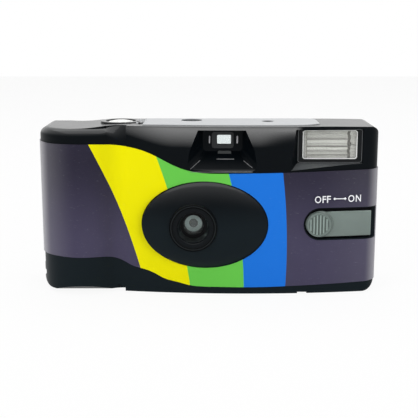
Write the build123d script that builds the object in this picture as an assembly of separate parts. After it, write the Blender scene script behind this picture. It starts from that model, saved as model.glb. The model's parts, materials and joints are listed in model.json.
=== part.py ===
from build123d import *
from math import asin, atan2, cos, degrees, pi, radians, sin, sqrt, tan
import os

os.makedirs("parts", exist_ok=True)

# Single-use film camera with flash. X runs to the right as the camera is seen from the front,
# the front faces -Y, Z is up and the camera stands on z = 0. The source is drawn about the
# lens side's own datum; every piece is moved back by depth_shift when it is written, so that
# the whole camera is centred on the origin.

# Housing
body_width = 120.4
body_height = 59.7
wall = 1.5
rear_wall = 1.2
front_y = -15.1
rear_y = 14.4
split_y = 10.8
bow_apex_x = 14.0
bow_radius = 270.0
grip_radius = 15.6
side_x = body_width / 2
grip_x = -side_x + grip_radius
grip_y = -0.5
valley_radius = 9.0
rear_corner_radius = 5.0
front_corner_radius = 6.0
foot_x = grip_x + 14.8
base_step = 1.2
foot_cut_y = -12.6
foot_rise = 1.8
grip_top_drop = 0.9
flash_top_drop = 0.4
ramp_start_x = -side_x + 10.2
ramp_end_x = grip_x + 16.6
flat_end_x = side_x - 18.0
top_corner_radius = 3.5
flash_foot_radius = 5.0
grip_foot_radius = 4.0
roll_start_z = body_height - 10.5
roll_radius = 24.6
top_edge_radius = 1.6
grip_edge_radius = 3.0
label_skin = 0.3
top_skin = 0.25
skin_left_x = grip_x + 21.6
skin_right_x = side_x - 18.5
skin_corner = 5.0
skin_edge = 3.3
notch_left_x = side_x - 28.4
notch_right_x = side_x - 25.0
notch_height = 0.6
latch_z = 4.9
latch_height = 3.0
latch_depth = 1.7
latch_curl = 0.7
latch_slot_depth = 0.8
overrun = 1.0
seat_gap = 0.1
run_gap = 0.08
press_gap = 0.02

# Lens, dome and shutter
lens_x = -5.2
lens_z = body_height * 0.42
dome_x = -1.2
dome_half_width = 22.1
dome_half_height = 15.3
dome_rise = 4.6
dome_cut_share = 0.42
ring_radius = 8.35
ring_front_y = -20.1
ring_back_y = -13.4
ring_groove_radius = 7.15
ring_groove_width = 0.35
ring_groove_depth = 0.3
well_radius = 6.3
well_end_radius = 4.6
well_end_y = -15.3
lens_radius = 4.2
lens_edge = 1.0
lens_bulge = 1.0
lens_back_y = -12.9
holder_half_width = 10.5
holder_half_height = 9.0
holder_front_y = -12.4
holder_thickness = 0.8
holder_wall = 1.1
retainer_height = 0.6
stop_radius = 1.6
stop_disc_radius = 4.0
stop_thickness = 0.25
blade_thickness = 0.2
blade_front_y = -11.0
blade_radius = 4.3
blade_pivot_dx = 8.0
blade_pivot_dz = -5.0
blade_tail = 13.2
blade_arm = 2.6
pin_radius = 0.8
plate_front_y = -10.5
plate_thickness = 1.5

# Film path
cartridge_x = grip_x
cartridge_y = 0.6
cartridge_radius = 12.5
cartridge_shell_radius = 12.1
film_width = 35.0
cartridge_end = 4.5
cartridge_height = film_width + 2 * cartridge_end
cartridge_bottom_z = lens_z - cartridge_height / 2
cartridge_cap = 1.8
cartridge_shell = 0.4
lip_length = 8.5
lip_thickness = 1.2
hub_radius = 5.0
hub_bore_radius = 3.3
hub_rise = 3.3
hub_depth = 6.0
hub_bar = 1.4
film_y = 11.25
film_thickness = 0.2
gate_width = 36.0
gate_height = 24.0
roll_x = side_x - 21.6
roll_y = 1.95
roll_outer_radius = 9.2
roll_core_radius = 3.6
spool_flange_radius = 8.3
spool_flange = 0.8
wheel_radius = 14.1
wheel_bottom_z = body_height - 8.7
wheel_thickness = 3.8
wheel_teeth = 54
wheel_tooth_depth = 0.5
sprocket_x = grip_x + 19.1
sprocket_y = 5.15
sprocket_radius = 5.0
sprocket_tooth = 1.0
sprocket_teeth = 8
sprocket_bottom_z = lens_z + film_width / 2 - 4.0
sprocket_thickness = 2.0
sprocket_shaft_radius = 1.5
counter_x = lens_x - 8.0
counter_y = 0.6
counter_radius = 10.8
counter_bottom_z = body_height - 6.1
counter_thickness = 1.4
counter_teeth = 36
counter_post_radius = 1.8

# Chassis
chassis_wall = 1.0
chamber_gap = 0.3
roll_chamber_radius = 10.0
roll_floor_z = lens_z - film_width / 2 - 3.1
gate_front_y = 9.6
gate_back_y = 11.0
gate_left_x = grip_x + 15.6
gate_right_x = side_x - 28.7
deck_z = lens_z + film_width / 2 + 0.4
deck_thickness = 1.4
deck_front_y = -9.0
shelf_z = body_height - 10.5
shelf_thickness = 1.6
shelf_right_x = grip_x + 22.1
tunnel_front_half = 4.6
tunnel_wall = 1.1
battery_radius = 7.25
battery_length = 49.5
battery_nub = 1.0
battery_nub_radius = 2.75
battery_y = -3.4
battery_x = 0.55
battery_z = 8.95
trough_gap = 0.2
trough_wall = 0.8
capacitor_left_x = side_x - 34.6
capacitor_y = 6.2
capacitor_z = body_height - 8.5
capacitor_radius = 6.4
capacitor_length = 32.0

# Button, collar and release
button_x = grip_x + 13.0
button_y = 2.6
button_radius = 5.3
button_rise = 0.6
button_flange_radius = 6.3
button_flange = 0.8
button_travel = 1.2
collar_radius = 7.35
collar_height = 0.6
stem_x = grip_x + 16.5
stem_y = -0.6
stem_radius = 1.0
stem_bottom_z = deck_z + 4.5
spring_wire = 0.4
spring_radius = 1.55
spring_turns = 5
lever_x = grip_x + 23.1
lever_right_x = grip_x + 27.6
lever_z = deck_z + 2.9
lever_thickness = 1.2
lever_width = 3.0
striker_x = lens_x - 4.4
striker_y = -3.3
catch_left_x = grip_x + 28.6
striker_reach = 8.0

# Finder
hood_left_x = -9.7
hood_right_x = 18.4
hood_bottom_z = body_height - 17.7
hood_top_z = body_height - 1.1
finder_x = 5.1
finder_z = body_height - 4.9
finder_front_y = -8.6
finder_back_y = 13.0
finder_lens_width = 7.0
finder_lens_height = 4.4
finder_rear_z = body_height - 7.8
finder_wall = 1.0

# Flash
flash_left_x = side_x - 29.1
flash_right_x = side_x - 6.2
flash_bottom_z = body_height - 13.1
flash_top_z = body_height - 1.05
flash_face_y = -11.6
bezel_side = 1.8
bezel_foot = 1.35
bezel_head = 0.5
bezel_corner = 1.0
bezel_depth = 2.6
window_thickness = 1.4
window_ribs = 9
reflector_border = 1.0
reflector_depth = 7.5
reflector_wall = 0.5
tube_radius = 1.5
tube_length = 24.0
board_x = side_x - 10.2
board_thickness = 1.0
board_front_y = -10.3
board_back_y = 11.0
board_bottom_z = 7.0
board_top_z = deck_z
transformer_depth = 5.8
slot_left_x = side_x - 26.2
slot_right_x = side_x - 2.0
slot_bottom_z = lens_z - 5.3
slot_top_z = lens_z + 5.6
slider_knob_x = side_x - 21.3
slider_knob_z = lens_z + 0.2
slider_knob_radius = 4.5
slider_thickness = 1.0
slider_face_y = -13.7
slider_end_y = -11.0
slider_knob_rise = 1.9
slider_knob_ribs = 6
slider_travel = 8.0
lamp_x = side_x - 38.7
lamp_y = 0.8
lamp_radius = 2.1
lamp_bottom_z = deck_z + 5.0
window_x = -6.05
window_y = 4.2
window_radius = 3.8

# Doors
door_gap = 0.15
film_door_radius = 13.0
film_door_hinge_x = grip_x + 13.4
film_door_back_y = 12.2
film_door_front_y = -11.4
battery_door_left_x = -25.2
battery_door_right_x = 30.6
battery_door_front_y = -11.4
battery_door_back_y = 4.6
hinge_pin_radius = 0.35
hinge_pin_reach = 0.6
film_hinge_x = film_door_hinge_x - wall / 2
film_hinge_z = base_step + wall / 2
battery_hinge_y = battery_door_back_y - wall / 2
battery_hinge_z = wall / 2

depth_shift = -(ring_front_y + cartridge_y + wheel_radius) / 2
to_frame = Pos(0, depth_shift, 0)


def span_box(x0, x1, y0, y1, z0, z1):
    """A block given by its two ends along each axis."""
    return Pos((x0 + x1) / 2, (y0 + y1) / 2, (z0 + z1) / 2) * Box(x1 - x0, y1 - y0, z1 - z0)


def post(x, y, z0, z1, radius):
    """An upright cylinder."""
    return Pos(x, y, (z0 + z1) / 2) * Cylinder(radius, z1 - z0)


def tube(x, y, z0, z1, outer, inner):
    return post(x, y, z0, z1, outer) - post(x, y, z0 - overrun, z1 + overrun, inner)


def barrel(x, z, y0, y1, radius):
    """A cylinder that lies along Y."""
    return Pos(x, (y0 + y1) / 2, z) * Rot(90, 0, 0) * Cylinder(radius, y1 - y0)


def log(y, z, x0, x1, radius):
    """A cylinder that lies along X."""
    return Pos((x0 + x1) / 2, y, z) * Rot(0, 90, 0) * Cylinder(radius, x1 - x0)


def slab(outline, y0, y1):
    """A front-view outline, drawn in X and Z, made solid between two depths."""
    return extrude(Plane.XZ.offset(-y1) * outline, y1 - y0)


def rect(x0, x1, y0, y1):
    return Pos((x0 + x1) / 2, (y0 + y1) / 2) * Rectangle(x1 - x0, y1 - y0)


def nearest(items, x, y):
    return min(items, key=lambda item: (item.center().X - x) ** 2 + (item.center().Y - y) ** 2)


# Housing form

def plan_face(inset):
    """The housing seen from above: bowed front, round grip, flat back."""
    bow = Pos(bow_apex_x, front_y + bow_radius) * Circle(bow_radius - inset)
    main = rect(grip_x, side_x - inset, 2 * front_y, rear_y - inset) & bow
    grip = Pos(grip_x, grip_y) * Circle(grip_radius - inset)
    left = rect(-side_x + inset, grip_x, grip_y, rear_y - inset)
    behind = rect(-side_x, side_x, 2 * front_y, rear_y - inset)
    return (main + grip + left) & behind if inset >= 0 else main + grip + left


def plan_block(inset):
    block = extrude(plan_face(inset), body_height + 2 * overrun)
    block = Pos(0, 0, -overrun) * block
    corners = (
        (-side_x, rear_y, rear_corner_radius - inset),
        (side_x, rear_y, rear_corner_radius - inset),
        (side_x, front_y, front_corner_radius - inset),
    )
    for x, y, radius in corners:
        block = fillet(nearest(block.edges().filter_by(Axis.Z), x, y), radius)
    front_edges = [e for e in block.edges().filter_by(Axis.Z) if e.center().Y < grip_y]
    valley = nearest(front_edges, *valley_centre())
    return fillet(valley, valley_radius + inset)


def front_outline(inset):
    """The housing seen from the front, with the grip's lower top and raised foot."""
    left_top = body_height - grip_top_drop - inset
    right_top = body_height - flash_top_drop - inset
    top = body_height - inset
    left, right = -side_x + inset, side_x - inset
    middle = (ramp_start_x + ramp_end_x) / 2
    rim = [
        Line((left, left_top), (ramp_start_x, left_top)),
        Bezier((ramp_start_x, left_top), (middle, left_top), (middle, top), (ramp_end_x, top)),
        Line((ramp_end_x, top), (flat_end_x, top)),
        Line((flat_end_x, top), (right, right_top)),
        Polyline((right, right_top), (right, inset), (foot_x + inset, inset),
                 (foot_x + inset, base_step + inset), (left, base_step + inset),
                 (left, left_top)),
    ]
    face = make_face(rim)
    corners = (
        (left, left_top, top_corner_radius - inset),
        (right, right_top, top_corner_radius - inset),
        (right, inset, flash_foot_radius - inset),
        (left, base_step + inset, grip_foot_radius - inset),
    )
    for x, z, radius in corners:
        face = fillet(nearest(face.vertices(), x, z), radius)
    return face


def bow_roll(inset):
    """What the bowed front loses at the top, where it rolls back to the top edge."""
    centre_r = bow_radius - roll_radius
    radius = roll_radius - inset
    top = body_height - inset
    lean = asin((top - roll_start_z) / radius)
    end_r = centre_r + radius * cos(lean)
    inner_r = centre_r + radius / 2
    arc = RadiusArc((centre_r + radius, roll_start_z), (end_r, top), -radius)
    rim = Polyline((end_r, top), (inner_r, top), (inner_r, roll_start_z),
                   (centre_r + radius, roll_start_z))
    kept = fillet(nearest(make_face([arc, rim]).vertices(), end_r, top), top_edge_radius)
    room = rect(inner_r, bow_radius + 2 * overrun, roll_start_z, body_height + 2 * overrun)
    profile = room - kept
    half_angle = degrees(asin((bow_apex_x + side_x) / bow_radius)) + overrun
    ring = revolve(Plane.XZ * profile, Axis.Z, 2 * half_angle)
    ring = Pos(bow_apex_x, front_y + bow_radius, 0) * Rot(0, 0, -90 - half_angle) * ring
    x, y = valley_centre()
    touch = valley_radius / (bow_radius + valley_radius)
    return ring & span_box(x + (bow_apex_x - x) * touch, side_x + overrun, 3 * front_y, 0, 0,
                           2 * body_height)


def grip_roll(inset):
    """What the round grip loses at its top edge."""
    outer = grip_radius - inset
    top = body_height - grip_top_drop - inset
    radius = grip_edge_radius - inset
    kept = rect(0, outer, 0, top)
    kept = fillet(nearest(kept.vertices(), outer, top), radius)
    room = rect(0, outer + 2 * overrun, top - radius, body_height + 2 * overrun)
    upper = rect(0, outer - radius, top - overrun / 4, body_height + 2 * overrun)
    ring = revolve(Plane.XZ * (room - kept - upper), Axis.Z, 360)
    ring = Pos(grip_x, grip_y, 0) * ring
    x, y = valley_centre()
    touch = valley_radius / (grip_radius + valley_radius)
    front = span_box(-side_x - overrun, x + (grip_x - x) * touch, 3 * front_y, grip_y, 0,
                     2 * body_height)
    return ring & front


def valley_centre():
    """Where the hollow between grip and bow has its centre."""
    bow_y = front_y + bow_radius
    gap_x, gap_y = grip_x - bow_apex_x, grip_y - bow_y
    span = sqrt(gap_x ** 2 + gap_y ** 2)
    far, near = bow_radius + valley_radius, grip_radius + valley_radius
    along = (span ** 2 + far ** 2 - near ** 2) / (2 * span)
    across = sqrt(far ** 2 - along ** 2)
    ux, uy = gap_x / span, gap_y / span
    return bow_apex_x + ux * along - uy * across, bow_y + uy * along + ux * across


def valley_roll(inset):
    """What the hollow loses at the top, blending the bow's roll into the grip's edge."""
    x, y = valley_centre()
    bow_angle = degrees(atan2(front_y + bow_radius - y, bow_apex_x - x))
    grip_angle = degrees(atan2(grip_y - y, grip_x - x))
    radius = valley_radius + inset
    rise = body_height - roll_start_z
    setback = roll_radius - sqrt(roll_radius ** 2 - rise ** 2) + top_edge_radius / 8
    sections = []
    for blend_share in (-0.04, 0.33, 0.67, 1.04):
        share = min(max(blend_share, 0), 1)
        top = body_height - inset - grip_top_drop * share
        edge = grip_edge_radius - inset
        start = roll_start_z + (top - edge - roll_start_z) * share
        depth = setback + (edge - setback) * share
        height = top - start
        bend = (height ** 2 + depth ** 2) / (2 * depth)
        knee = start + bend * tan(asin(min(height / bend, 1)) / 2)
        curve = Bezier((radius, start), (radius, knee), (radius + depth, top))
        rim = Polyline((radius + depth, top), (radius + depth, body_height + overrun),
                       (radius - overrun, body_height + overrun), (radius - overrun, start),
                       (radius, start))
        turn = bow_angle + (grip_angle - bow_angle) * blend_share
        sections.append(Pos(x, y, 0) * Rot(0, 0, turn) * (Plane.XZ * make_face([curve, rim])))
    return loft(sections)


def rear_roll(inset):
    """What the back loses at its top and bottom edges."""
    left, right = -side_x - overrun, side_x + overrun
    top = body_height - inset
    radius = 2 * top_edge_radius - inset
    kept = rect(0, rear_y - inset, inset, top)
    kept = fillet(nearest(kept.vertices(), rear_y, top), radius)
    kept = fillet(nearest(kept.vertices(), rear_y, 0), radius)
    room = rect(rear_y / 2, rear_y + 2 * overrun, -overrun, body_height + 2 * overrun)
    trimmed = room - kept - rect(0, rear_y - 2 * radius, -2 * overrun, 2 * body_height)
    return extrude(Plane.YZ.offset(left) * trimmed, right - left)


def foot_cut(inset):
    """What the grip's foot loses along its front lower edge."""
    slope = foot_rise / (foot_cut_y - grip_y + grip_radius)
    low = base_step + inset
    profile = Polyline((foot_cut_y, low), (3 * front_y, low + slope * (foot_cut_y - 3 * front_y)),
                       (3 * front_y, -2 * overrun), (foot_cut_y, -2 * overrun), close=True)
    left = -side_x - overrun
    return extrude(Plane.YZ.offset(left) * make_face(profile), foot_x + inset - left)


def housing(inset):
    """The housing's full outer form, or its inside when inset by a wall."""
    body = plan_block(inset) & slab(front_outline(inset), 3 * front_y, 2 * rear_y)
    body = body - bow_roll(inset) - grip_roll(inset) - valley_roll(inset) - rear_roll(inset)
    return body - foot_cut(inset)


OUTER = housing(0)
INNER = housing(wall)


def dome_solid(inset):
    """The oval dome around the lens, a cap cut from an ellipsoid."""
    grow = 1 / sqrt(1 - dome_cut_share ** 2)
    half_width = dome_half_width * grow - inset
    half_height = dome_half_height * grow - inset
    depth = dome_rise / (1 - dome_cut_share) - inset
    centre_y = front_y - dome_rise + dome_rise / (1 - dome_cut_share)
    ball = scale(Sphere(half_width), by=(1, depth / half_width, half_height / half_width))
    cut_y = front_y + 3 * wall
    ahead = span_box(-side_x, side_x, 3 * front_y, cut_y, 0, body_height)
    cap = (Pos(dome_x, centre_y, lens_z) * ball) & ahead
    oval = slab(Pos(dome_x, lens_z) * Ellipse(dome_half_width - inset, dome_half_height - inset),
                3 * front_y, cut_y)
    return cap & oval


def shaped_face(left, right, bottom, top, shares):
    """An outline given by its shares of a box's width and height."""
    return make_face(Polyline([(left + (right - left) * x_share, bottom + (top - bottom) * z_share)
                               for x_share, z_share in shares], close=True))


def hood_loft(inset):
    """The finder's recess, wide at the front and narrow at the window."""
    front_shares = ((0.194, 1), (0.818, 1), (0.961, 0.523), (1, 0.173), (0.98, 0.05),
                    (0.91, 0), (0.10, 0), (0.025, 0.05), (0, 0.15), (0.03, 0.43))
    back_shares = ((0, 1), (1, 1), (1, 0.47), (1, 0.16), (0.97, 0.04),
                   (0.90, 0), (0.10, 0), (0.03, 0.04), (0, 0.16), (0, 0.47))
    front_face = shaped_face(hood_left_x + inset, hood_right_x - inset, hood_bottom_z + inset,
                             hood_top_z - inset, front_shares)
    back_face = shaped_face(finder_x - finder_lens_width + inset,
                            finder_x + finder_lens_width - inset,
                            finder_z - finder_lens_height + inset,
                            hood_top_z - overrun / 2 - inset, back_shares)
    ahead = Plane.XZ.offset(-front_y + 2 * overrun) * front_face
    behind = Plane.XZ.offset(-finder_front_y + inset) * back_face
    return loft([behind, ahead])


def flash_recess(inset):
    """The flash hood's opening with its sloping lower lip."""
    lip_z = flash_bottom_z - 2 * wall
    ahead = Polyline(
        (flash_left_x - 2 * wall + inset, lip_z + inset),
        (flash_right_x - inset, flash_bottom_z - overrun / 2 + inset),
        (flash_right_x - inset, flash_top_z - inset),
        (flash_left_x - overrun + inset, flash_top_z - inset),
        close=True)
    behind = rect(flash_left_x + inset, flash_right_x - inset, flash_bottom_z + inset,
                  flash_top_z - inset)
    front_face = Plane.XZ.offset(-front_y + overrun / 2) * make_face(ahead)
    back_face = Plane.XZ.offset(-flash_face_y + inset) * behind
    return loft([back_face, front_face])


def slot_outline(grow):
    radius = (slot_top_z - slot_bottom_z) / 2 + grow
    middle_z = (slot_top_z + slot_bottom_z) / 2
    centre_x = slot_left_x - grow + radius
    straight = rect(centre_x, slot_right_x + grow, middle_z - radius, middle_z + radius)
    return straight + Pos(centre_x, middle_z) * Circle(radius)


def film_door_outline(grow):
    disc = Pos(cartridge_x, cartridge_y) * Circle(film_door_radius + grow)
    square = rect(cartridge_x, film_door_hinge_x + grow, film_door_front_y - grow,
                  film_door_back_y + grow)
    bounds = rect(-side_x, film_door_hinge_x + grow, film_door_front_y - grow,
                  film_door_back_y + grow)
    return (disc + square) & bounds


def door_holes():
    film = extrude(Plane.XY.offset(-overrun) * film_door_outline(door_gap),
                   base_step + wall + 2 * overrun)
    battery = span_box(battery_door_left_x - door_gap, battery_door_right_x + door_gap,
                       battery_door_front_y - door_gap, battery_door_back_y + door_gap,
                       -overrun, wall + overrun)
    reach = door_gap + hinge_pin_reach + seat_gap
    film_pins = barrel(film_hinge_x, film_hinge_z, film_door_front_y - reach,
                       film_door_back_y + reach, hinge_pin_radius + run_gap)
    battery_pins = log(battery_hinge_y, battery_hinge_z, battery_door_left_x - reach,
                       battery_door_right_x + reach, hinge_pin_radius + run_gap)
    return film + battery + film_pins + battery_pins


def front_cover():
    shell = OUTER + dome_solid(0) - INNER - dome_solid(wall)
    boss = barrel(lens_x, lens_z, ring_front_y / 2 + front_y / 2, ring_back_y + wall / 2,
                  ring_radius + wall)
    shell = shell + (boss & dome_solid(0))
    hood_wall = hood_loft(-wall) & OUTER
    flash_wall = flash_recess(-wall) & OUTER
    shell = shell + hood_wall + flash_wall
    shell = shell - hood_loft(0) - flash_recess(0)
    shell = shell - barrel(lens_x, lens_z, 2 * ring_front_y, 0, ring_radius + press_gap)
    finder = span_box(finder_x - finder_lens_width / 2 - seat_gap,
                      finder_x + finder_lens_width / 2 + seat_gap, finder_front_y - 2 * wall,
                      finder_front_y + 2 * wall, finder_z - finder_lens_height / 2 - seat_gap,
                      finder_z + finder_lens_height / 2 + seat_gap)
    window = span_box(flash_left_x, flash_right_x, flash_face_y - wall, flash_face_y + 4 * wall,
                      flash_bottom_z, flash_top_z - seat_gap)
    shell = shell - finder - window
    shell = shell - slab(slot_outline(0), 3 * front_y, front_y / 2)
    shell = shell - span_box(slot_right_x - wall, side_x + overrun, 2 * front_y,
                             slider_end_y + wall + slider_thickness, slot_bottom_z, slot_top_z)
    shell = shell - post(button_x, button_y, body_height - 3 * wall, 2 * body_height,
                         button_radius + seat_gap)
    shell = shell - post(window_x, window_y, body_height - 3 * wall, 2 * body_height,
                         window_radius)
    shell = shell - post(lamp_x, lamp_y, body_height - 3 * wall, 2 * body_height,
                         lamp_radius + seat_gap)
    shell = shell - door_holes()
    shell = shell - span_box(notch_left_x, notch_right_x, 3 * front_y, battery_door_front_y
                             - wall, -overrun, notch_height)
    latch_back = grip_y + overrun
    latch_room = span_box(-side_x - overrun, -side_x + latch_depth, grip_y - 2 * grip_edge_radius,
                          latch_back, latch_z - latch_height / 2, latch_z + latch_height / 2)
    curl = barrel(-side_x + latch_depth * 0.6, latch_z - latch_height / 2 + latch_curl / 2,
                  grip_y - 2 * grip_edge_radius, latch_back, latch_curl)
    latch_slot = span_box(-side_x - overrun, -side_x + latch_slot_depth,
                          grip_y - 2 * grip_edge_radius, latch_back,
                          latch_z + latch_height * 1.2, latch_z + latch_height * 2.7)
    shell = shell - (latch_room - curl) - latch_slot
    return shell & span_box(-side_x - overrun, side_x + overrun, 3 * front_y, split_y,
                            -overrun, 2 * body_height)


def wheel_scoop():
    """The hollow in the back where a thumb reaches the wheel."""
    middle_z = wheel_bottom_z + wheel_thickness / 2
    reach = wheel_radius / 2 + wheel_thickness
    groove = Pos(cartridge_x, rear_y + 3 * wheel_thickness, middle_z) * Sphere(4 * wheel_thickness)
    slot = span_box(cartridge_x - reach, cartridge_x + reach, split_y - overrun,
                    rear_y + overrun, wheel_bottom_z - seat_gap * 4,
                    wheel_bottom_z + wheel_thickness + seat_gap * 4)
    return groove + slot


def rear_cover():
    shell = OUTER - INNER
    deeper = housing(rear_wall) & span_box(-side_x, side_x, split_y, rear_y, 0, body_height)
    shell = shell - (deeper & span_box(-side_x + wall, side_x - wall, split_y, rear_y,
                                       base_step + wall, body_height - 2 * wall))
    rib_y = film_y + film_thickness + seat_gap
    for rib_share in (-0.47, 0.47):
        rib_z = lens_z + film_width * rib_share
        shell = shell + span_box(gate_left_x, gate_right_x, rib_y, rear_y - rear_wall / 2,
                                 rib_z - wall / 2, rib_z + wall / 2)
    eye = span_box(finder_x - finder_lens_width / 2 - seat_gap,
                   finder_x + finder_lens_width / 2 + seat_gap, split_y, rear_y + overrun,
                   finder_rear_z - finder_lens_height / 2 - seat_gap,
                   finder_rear_z + finder_lens_height / 2 + seat_gap)
    shell = shell - eye - wheel_scoop() - door_holes()
    lip_y = split_y + press_gap
    return shell & span_box(-side_x - overrun, side_x + overrun, lip_y, 2 * rear_y, -overrun,
                            2 * body_height)


def wrap_label():
    top_shares = ((-1.02, 0.902), (-0.84, 0.900), (-0.69, 0.900), (-0.485, 0.881),
                  (-0.395, 0.862), (-0.305, 0.826), (-0.195, 0.770), (-0.128, 0.746),
                  (-0.055, 0.732), (0.115, 0.727), (0.44, 0.732), (0.70, 0.739),
                  (1.02, 0.746))
    bottom_shares = ((1.02, 0.067), (0.72, 0.055), (0.455, 0.046), (0.21, 0.041),
                     (0.035, 0.043), (-0.115, 0.052), (-0.185, 0.070), (-0.258, 0.089),
                     (-0.34, 0.131), (-0.40, 0.148), (-0.447, 0.161), (-0.50, 0.189),
                     (-0.575, 0.219), (-0.73, 0.227), (-0.88, 0.229), (-1.02, 0.221))
    top_points = [(side_x * a, body_height * b) for a, b in top_shares]
    bottom_points = [(side_x * a, body_height * b) for a, b in bottom_shares]
    top = Spline(top_points)
    bottom = Spline(bottom_points)
    ends = [Line(top_points[-1], bottom_points[0]), Line(bottom_points[-1], top_points[0])]
    region = slab(make_face([top, bottom] + ends), 3 * front_y, 2 * rear_y)
    skin = (housing(-label_skin) - OUTER) & region
    back_top = wheel_bottom_z - 3 * wall
    skin = skin - span_box(-side_x + rear_corner_radius, side_x, grip_y, 2 * rear_y, back_top,
                           body_height)
    oval = slab(Pos(dome_x, lens_z) * Ellipse(dome_half_width + seat_gap * 3,
                                              dome_half_height + seat_gap * 3),
                3 * front_y, 0)
    skin = skin - oval - slab(slot_outline(seat_gap * 4), 3 * front_y, 0)
    skin = skin - span_box(slot_right_x - wall, side_x + overrun, 2 * front_y,
                           slider_end_y + wall + slider_thickness + seat_gap * 4,
                           slot_bottom_z - seat_gap * 4, slot_top_z + seat_gap * 4)
    return skin - hood_loft(-seat_gap * 4) - flash_recess(-seat_gap * 4)


def top_label():
    """The silver skin on the plateau, with round corners at its right end."""
    back = split_y - overrun
    front = front_y + wall
    shape = Pos((skin_left_x + skin_right_x) / 2, (front + back) / 2) * RectangleRounded(
        skin_right_x - skin_left_x, back - front, skin_corner)
    shape = shape + rect(skin_left_x, 0, front, back)
    shape = shape & Pos(bow_apex_x, front_y + bow_radius) * Circle(bow_radius - skin_edge)
    shape = shape - Pos(button_x, button_y) * Circle(collar_radius + seat_gap * 3)
    shape = shape - Pos(window_x, window_y) * Circle(window_radius + seat_gap)
    shape = shape - Pos(lamp_x, lamp_y) * Circle(lamp_radius + seat_gap)
    return extrude(Plane.XY.offset(body_height) * shape, top_skin)


def button_collar():
    seat_z = body_height - grip_top_drop / 3
    ring = tube(button_x, button_y, seat_z - wall, seat_z + collar_height, collar_radius,
                button_radius + seat_gap)
    upper = ring.faces().sort_by(Axis.Z)[-1]
    ring = chamfer(upper.edges(), collar_height / 3)
    return ring - OUTER


def shutter_button():
    top_z = body_height + button_rise
    flange_z = body_height - wall - grip_top_drop - seat_gap
    dome_radius = 3 * button_radius
    skirt = post(button_x, button_y, flange_z - button_flange, top_z, button_radius)
    ball = Pos(button_x, button_y, top_z - dome_radius) * Sphere(dome_radius)
    flange = post(button_x, button_y, flange_z - button_flange, flange_z, button_flange_radius)
    stem = post(stem_x, stem_y, stem_bottom_z, flange_z - button_flange, stem_radius)
    return (skirt & ball) + flange + stem


def coil(x, y, z0, z1, radius, wire, turns):
    """A round-wire spring along Z."""
    path = Helix((z1 - z0) / turns, z1 - z0, radius)
    start = path @ 0
    section = Plane(origin=start, z_dir=path % 0) * Circle(wire / 2)
    return Pos(x, y, z0) * sweep(section, path, is_frenet=True)


def button_spring():
    top_z = body_height - wall - grip_top_drop - seat_gap - button_flange
    bottom = shelf_z + shelf_thickness
    return coil(stem_x, stem_y, bottom + spring_wire / 2 + press_gap,
                top_z - spring_wire / 2 - press_gap, spring_radius, spring_wire, spring_turns)


def thumb_wheel():
    """The notched winding wheel, with a forked key that turns the film spool."""
    top_z = wheel_bottom_z + wheel_thickness
    disc = Pos(0, 0, (wheel_bottom_z + top_z) / 2) * Cylinder(wheel_radius, wheel_thickness)
    disc = chamfer(disc.edges().filter_by(GeomType.CIRCLE), wheel_tooth_depth)
    pitch = 2 * pi * wheel_radius / wheel_teeth
    notch = Pos(wheel_radius, 0) * Rot(0, 0, 45) * Rectangle(pitch / 2, pitch / 2)
    notches = Sketch() + [place * notch for place in PolarLocations(0, wheel_teeth)]
    disc = disc - extrude(Plane.XY.offset(wheel_bottom_z - overrun) * notches,
                          wheel_thickness + 2 * overrun)
    dish = tube(0, 0, top_z - wheel_thickness / 4, top_z + overrun, wheel_radius - wall * 2,
                hub_radius)
    key_z = cartridge_bottom_z + cartridge_height + hub_rise - hub_depth + seat_gap * 4
    key = post(0, 0, key_z, wheel_bottom_z, hub_bore_radius - seat_gap)
    fork = span_box(-hub_bar / 2 - seat_gap, hub_bar / 2 + seat_gap, -hub_radius, hub_radius,
                    key_z - overrun, key_z + hub_depth / 2)
    return Pos(cartridge_x, cartridge_y, 0) * (disc - dish + key - fork)


def cartridge_spool():
    """The film spool's core, hollow at both ends, with a bar across each hollow."""
    bottom = cartridge_bottom_z
    top = cartridge_bottom_z + cartridge_height + hub_rise
    core = post(0, 0, bottom, top, hub_radius)
    for z0, z1 in ((top - hub_depth, top + overrun), (bottom - overrun, bottom + hub_depth)):
        core = core - post(0, 0, z0, z1, hub_bore_radius)
    for z0, z1 in ((top - hub_depth, top - hub_depth / 2), (bottom + hub_depth / 2,
                                                            bottom + hub_depth)):
        core = core + span_box(-hub_bar / 2, hub_bar / 2, -hub_bore_radius, hub_bore_radius,
                               z0, z1)
    return Pos(cartridge_x, cartridge_y, 0) * core


def film_cartridge():
    """The metal film cartridge: rolled shell, two rimmed caps and the light-trap lip."""
    bottom = cartridge_bottom_z
    top = cartridge_bottom_z + cartridge_height
    hole = hub_radius + run_gap
    shell = tube(0, 0, bottom + cartridge_cap / 2, top - cartridge_cap / 2,
                 cartridge_shell_radius, cartridge_shell_radius - cartridge_shell)
    caps = tube(0, 0, bottom, bottom + cartridge_cap, cartridge_radius, hole)
    caps = caps + tube(0, 0, top - cartridge_cap, top, cartridge_radius, hole)
    dished = cartridge_shell_radius - cartridge_shell
    caps = caps - tube(0, 0, bottom - overrun, bottom + cartridge_cap / 2, dished,
                       hub_radius + cartridge_cap)
    caps = caps - tube(0, 0, top - cartridge_cap / 2, top + overrun, dished,
                       hub_radius + cartridge_cap)
    lip_y = film_y + film_thickness / 2 - cartridge_y
    lip = span_box(hub_radius, hub_radius + lip_length, lip_y - lip_thickness / 2,
                   lip_y + lip_thickness / 2, bottom + cartridge_cap, top - cartridge_cap)
    inside = post(0, 0, bottom, top, cartridge_shell_radius - cartridge_shell)
    mouth = span_box(0, hub_radius + lip_length + overrun, lip_y - film_thickness * 3 / 4,
                     lip_y + film_thickness * 3 / 4, bottom + cartridge_cap,
                     top - cartridge_cap)
    body = shell + caps + (lip - inside) - mouth
    return Pos(cartridge_x, cartridge_y, 0) * body


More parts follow.
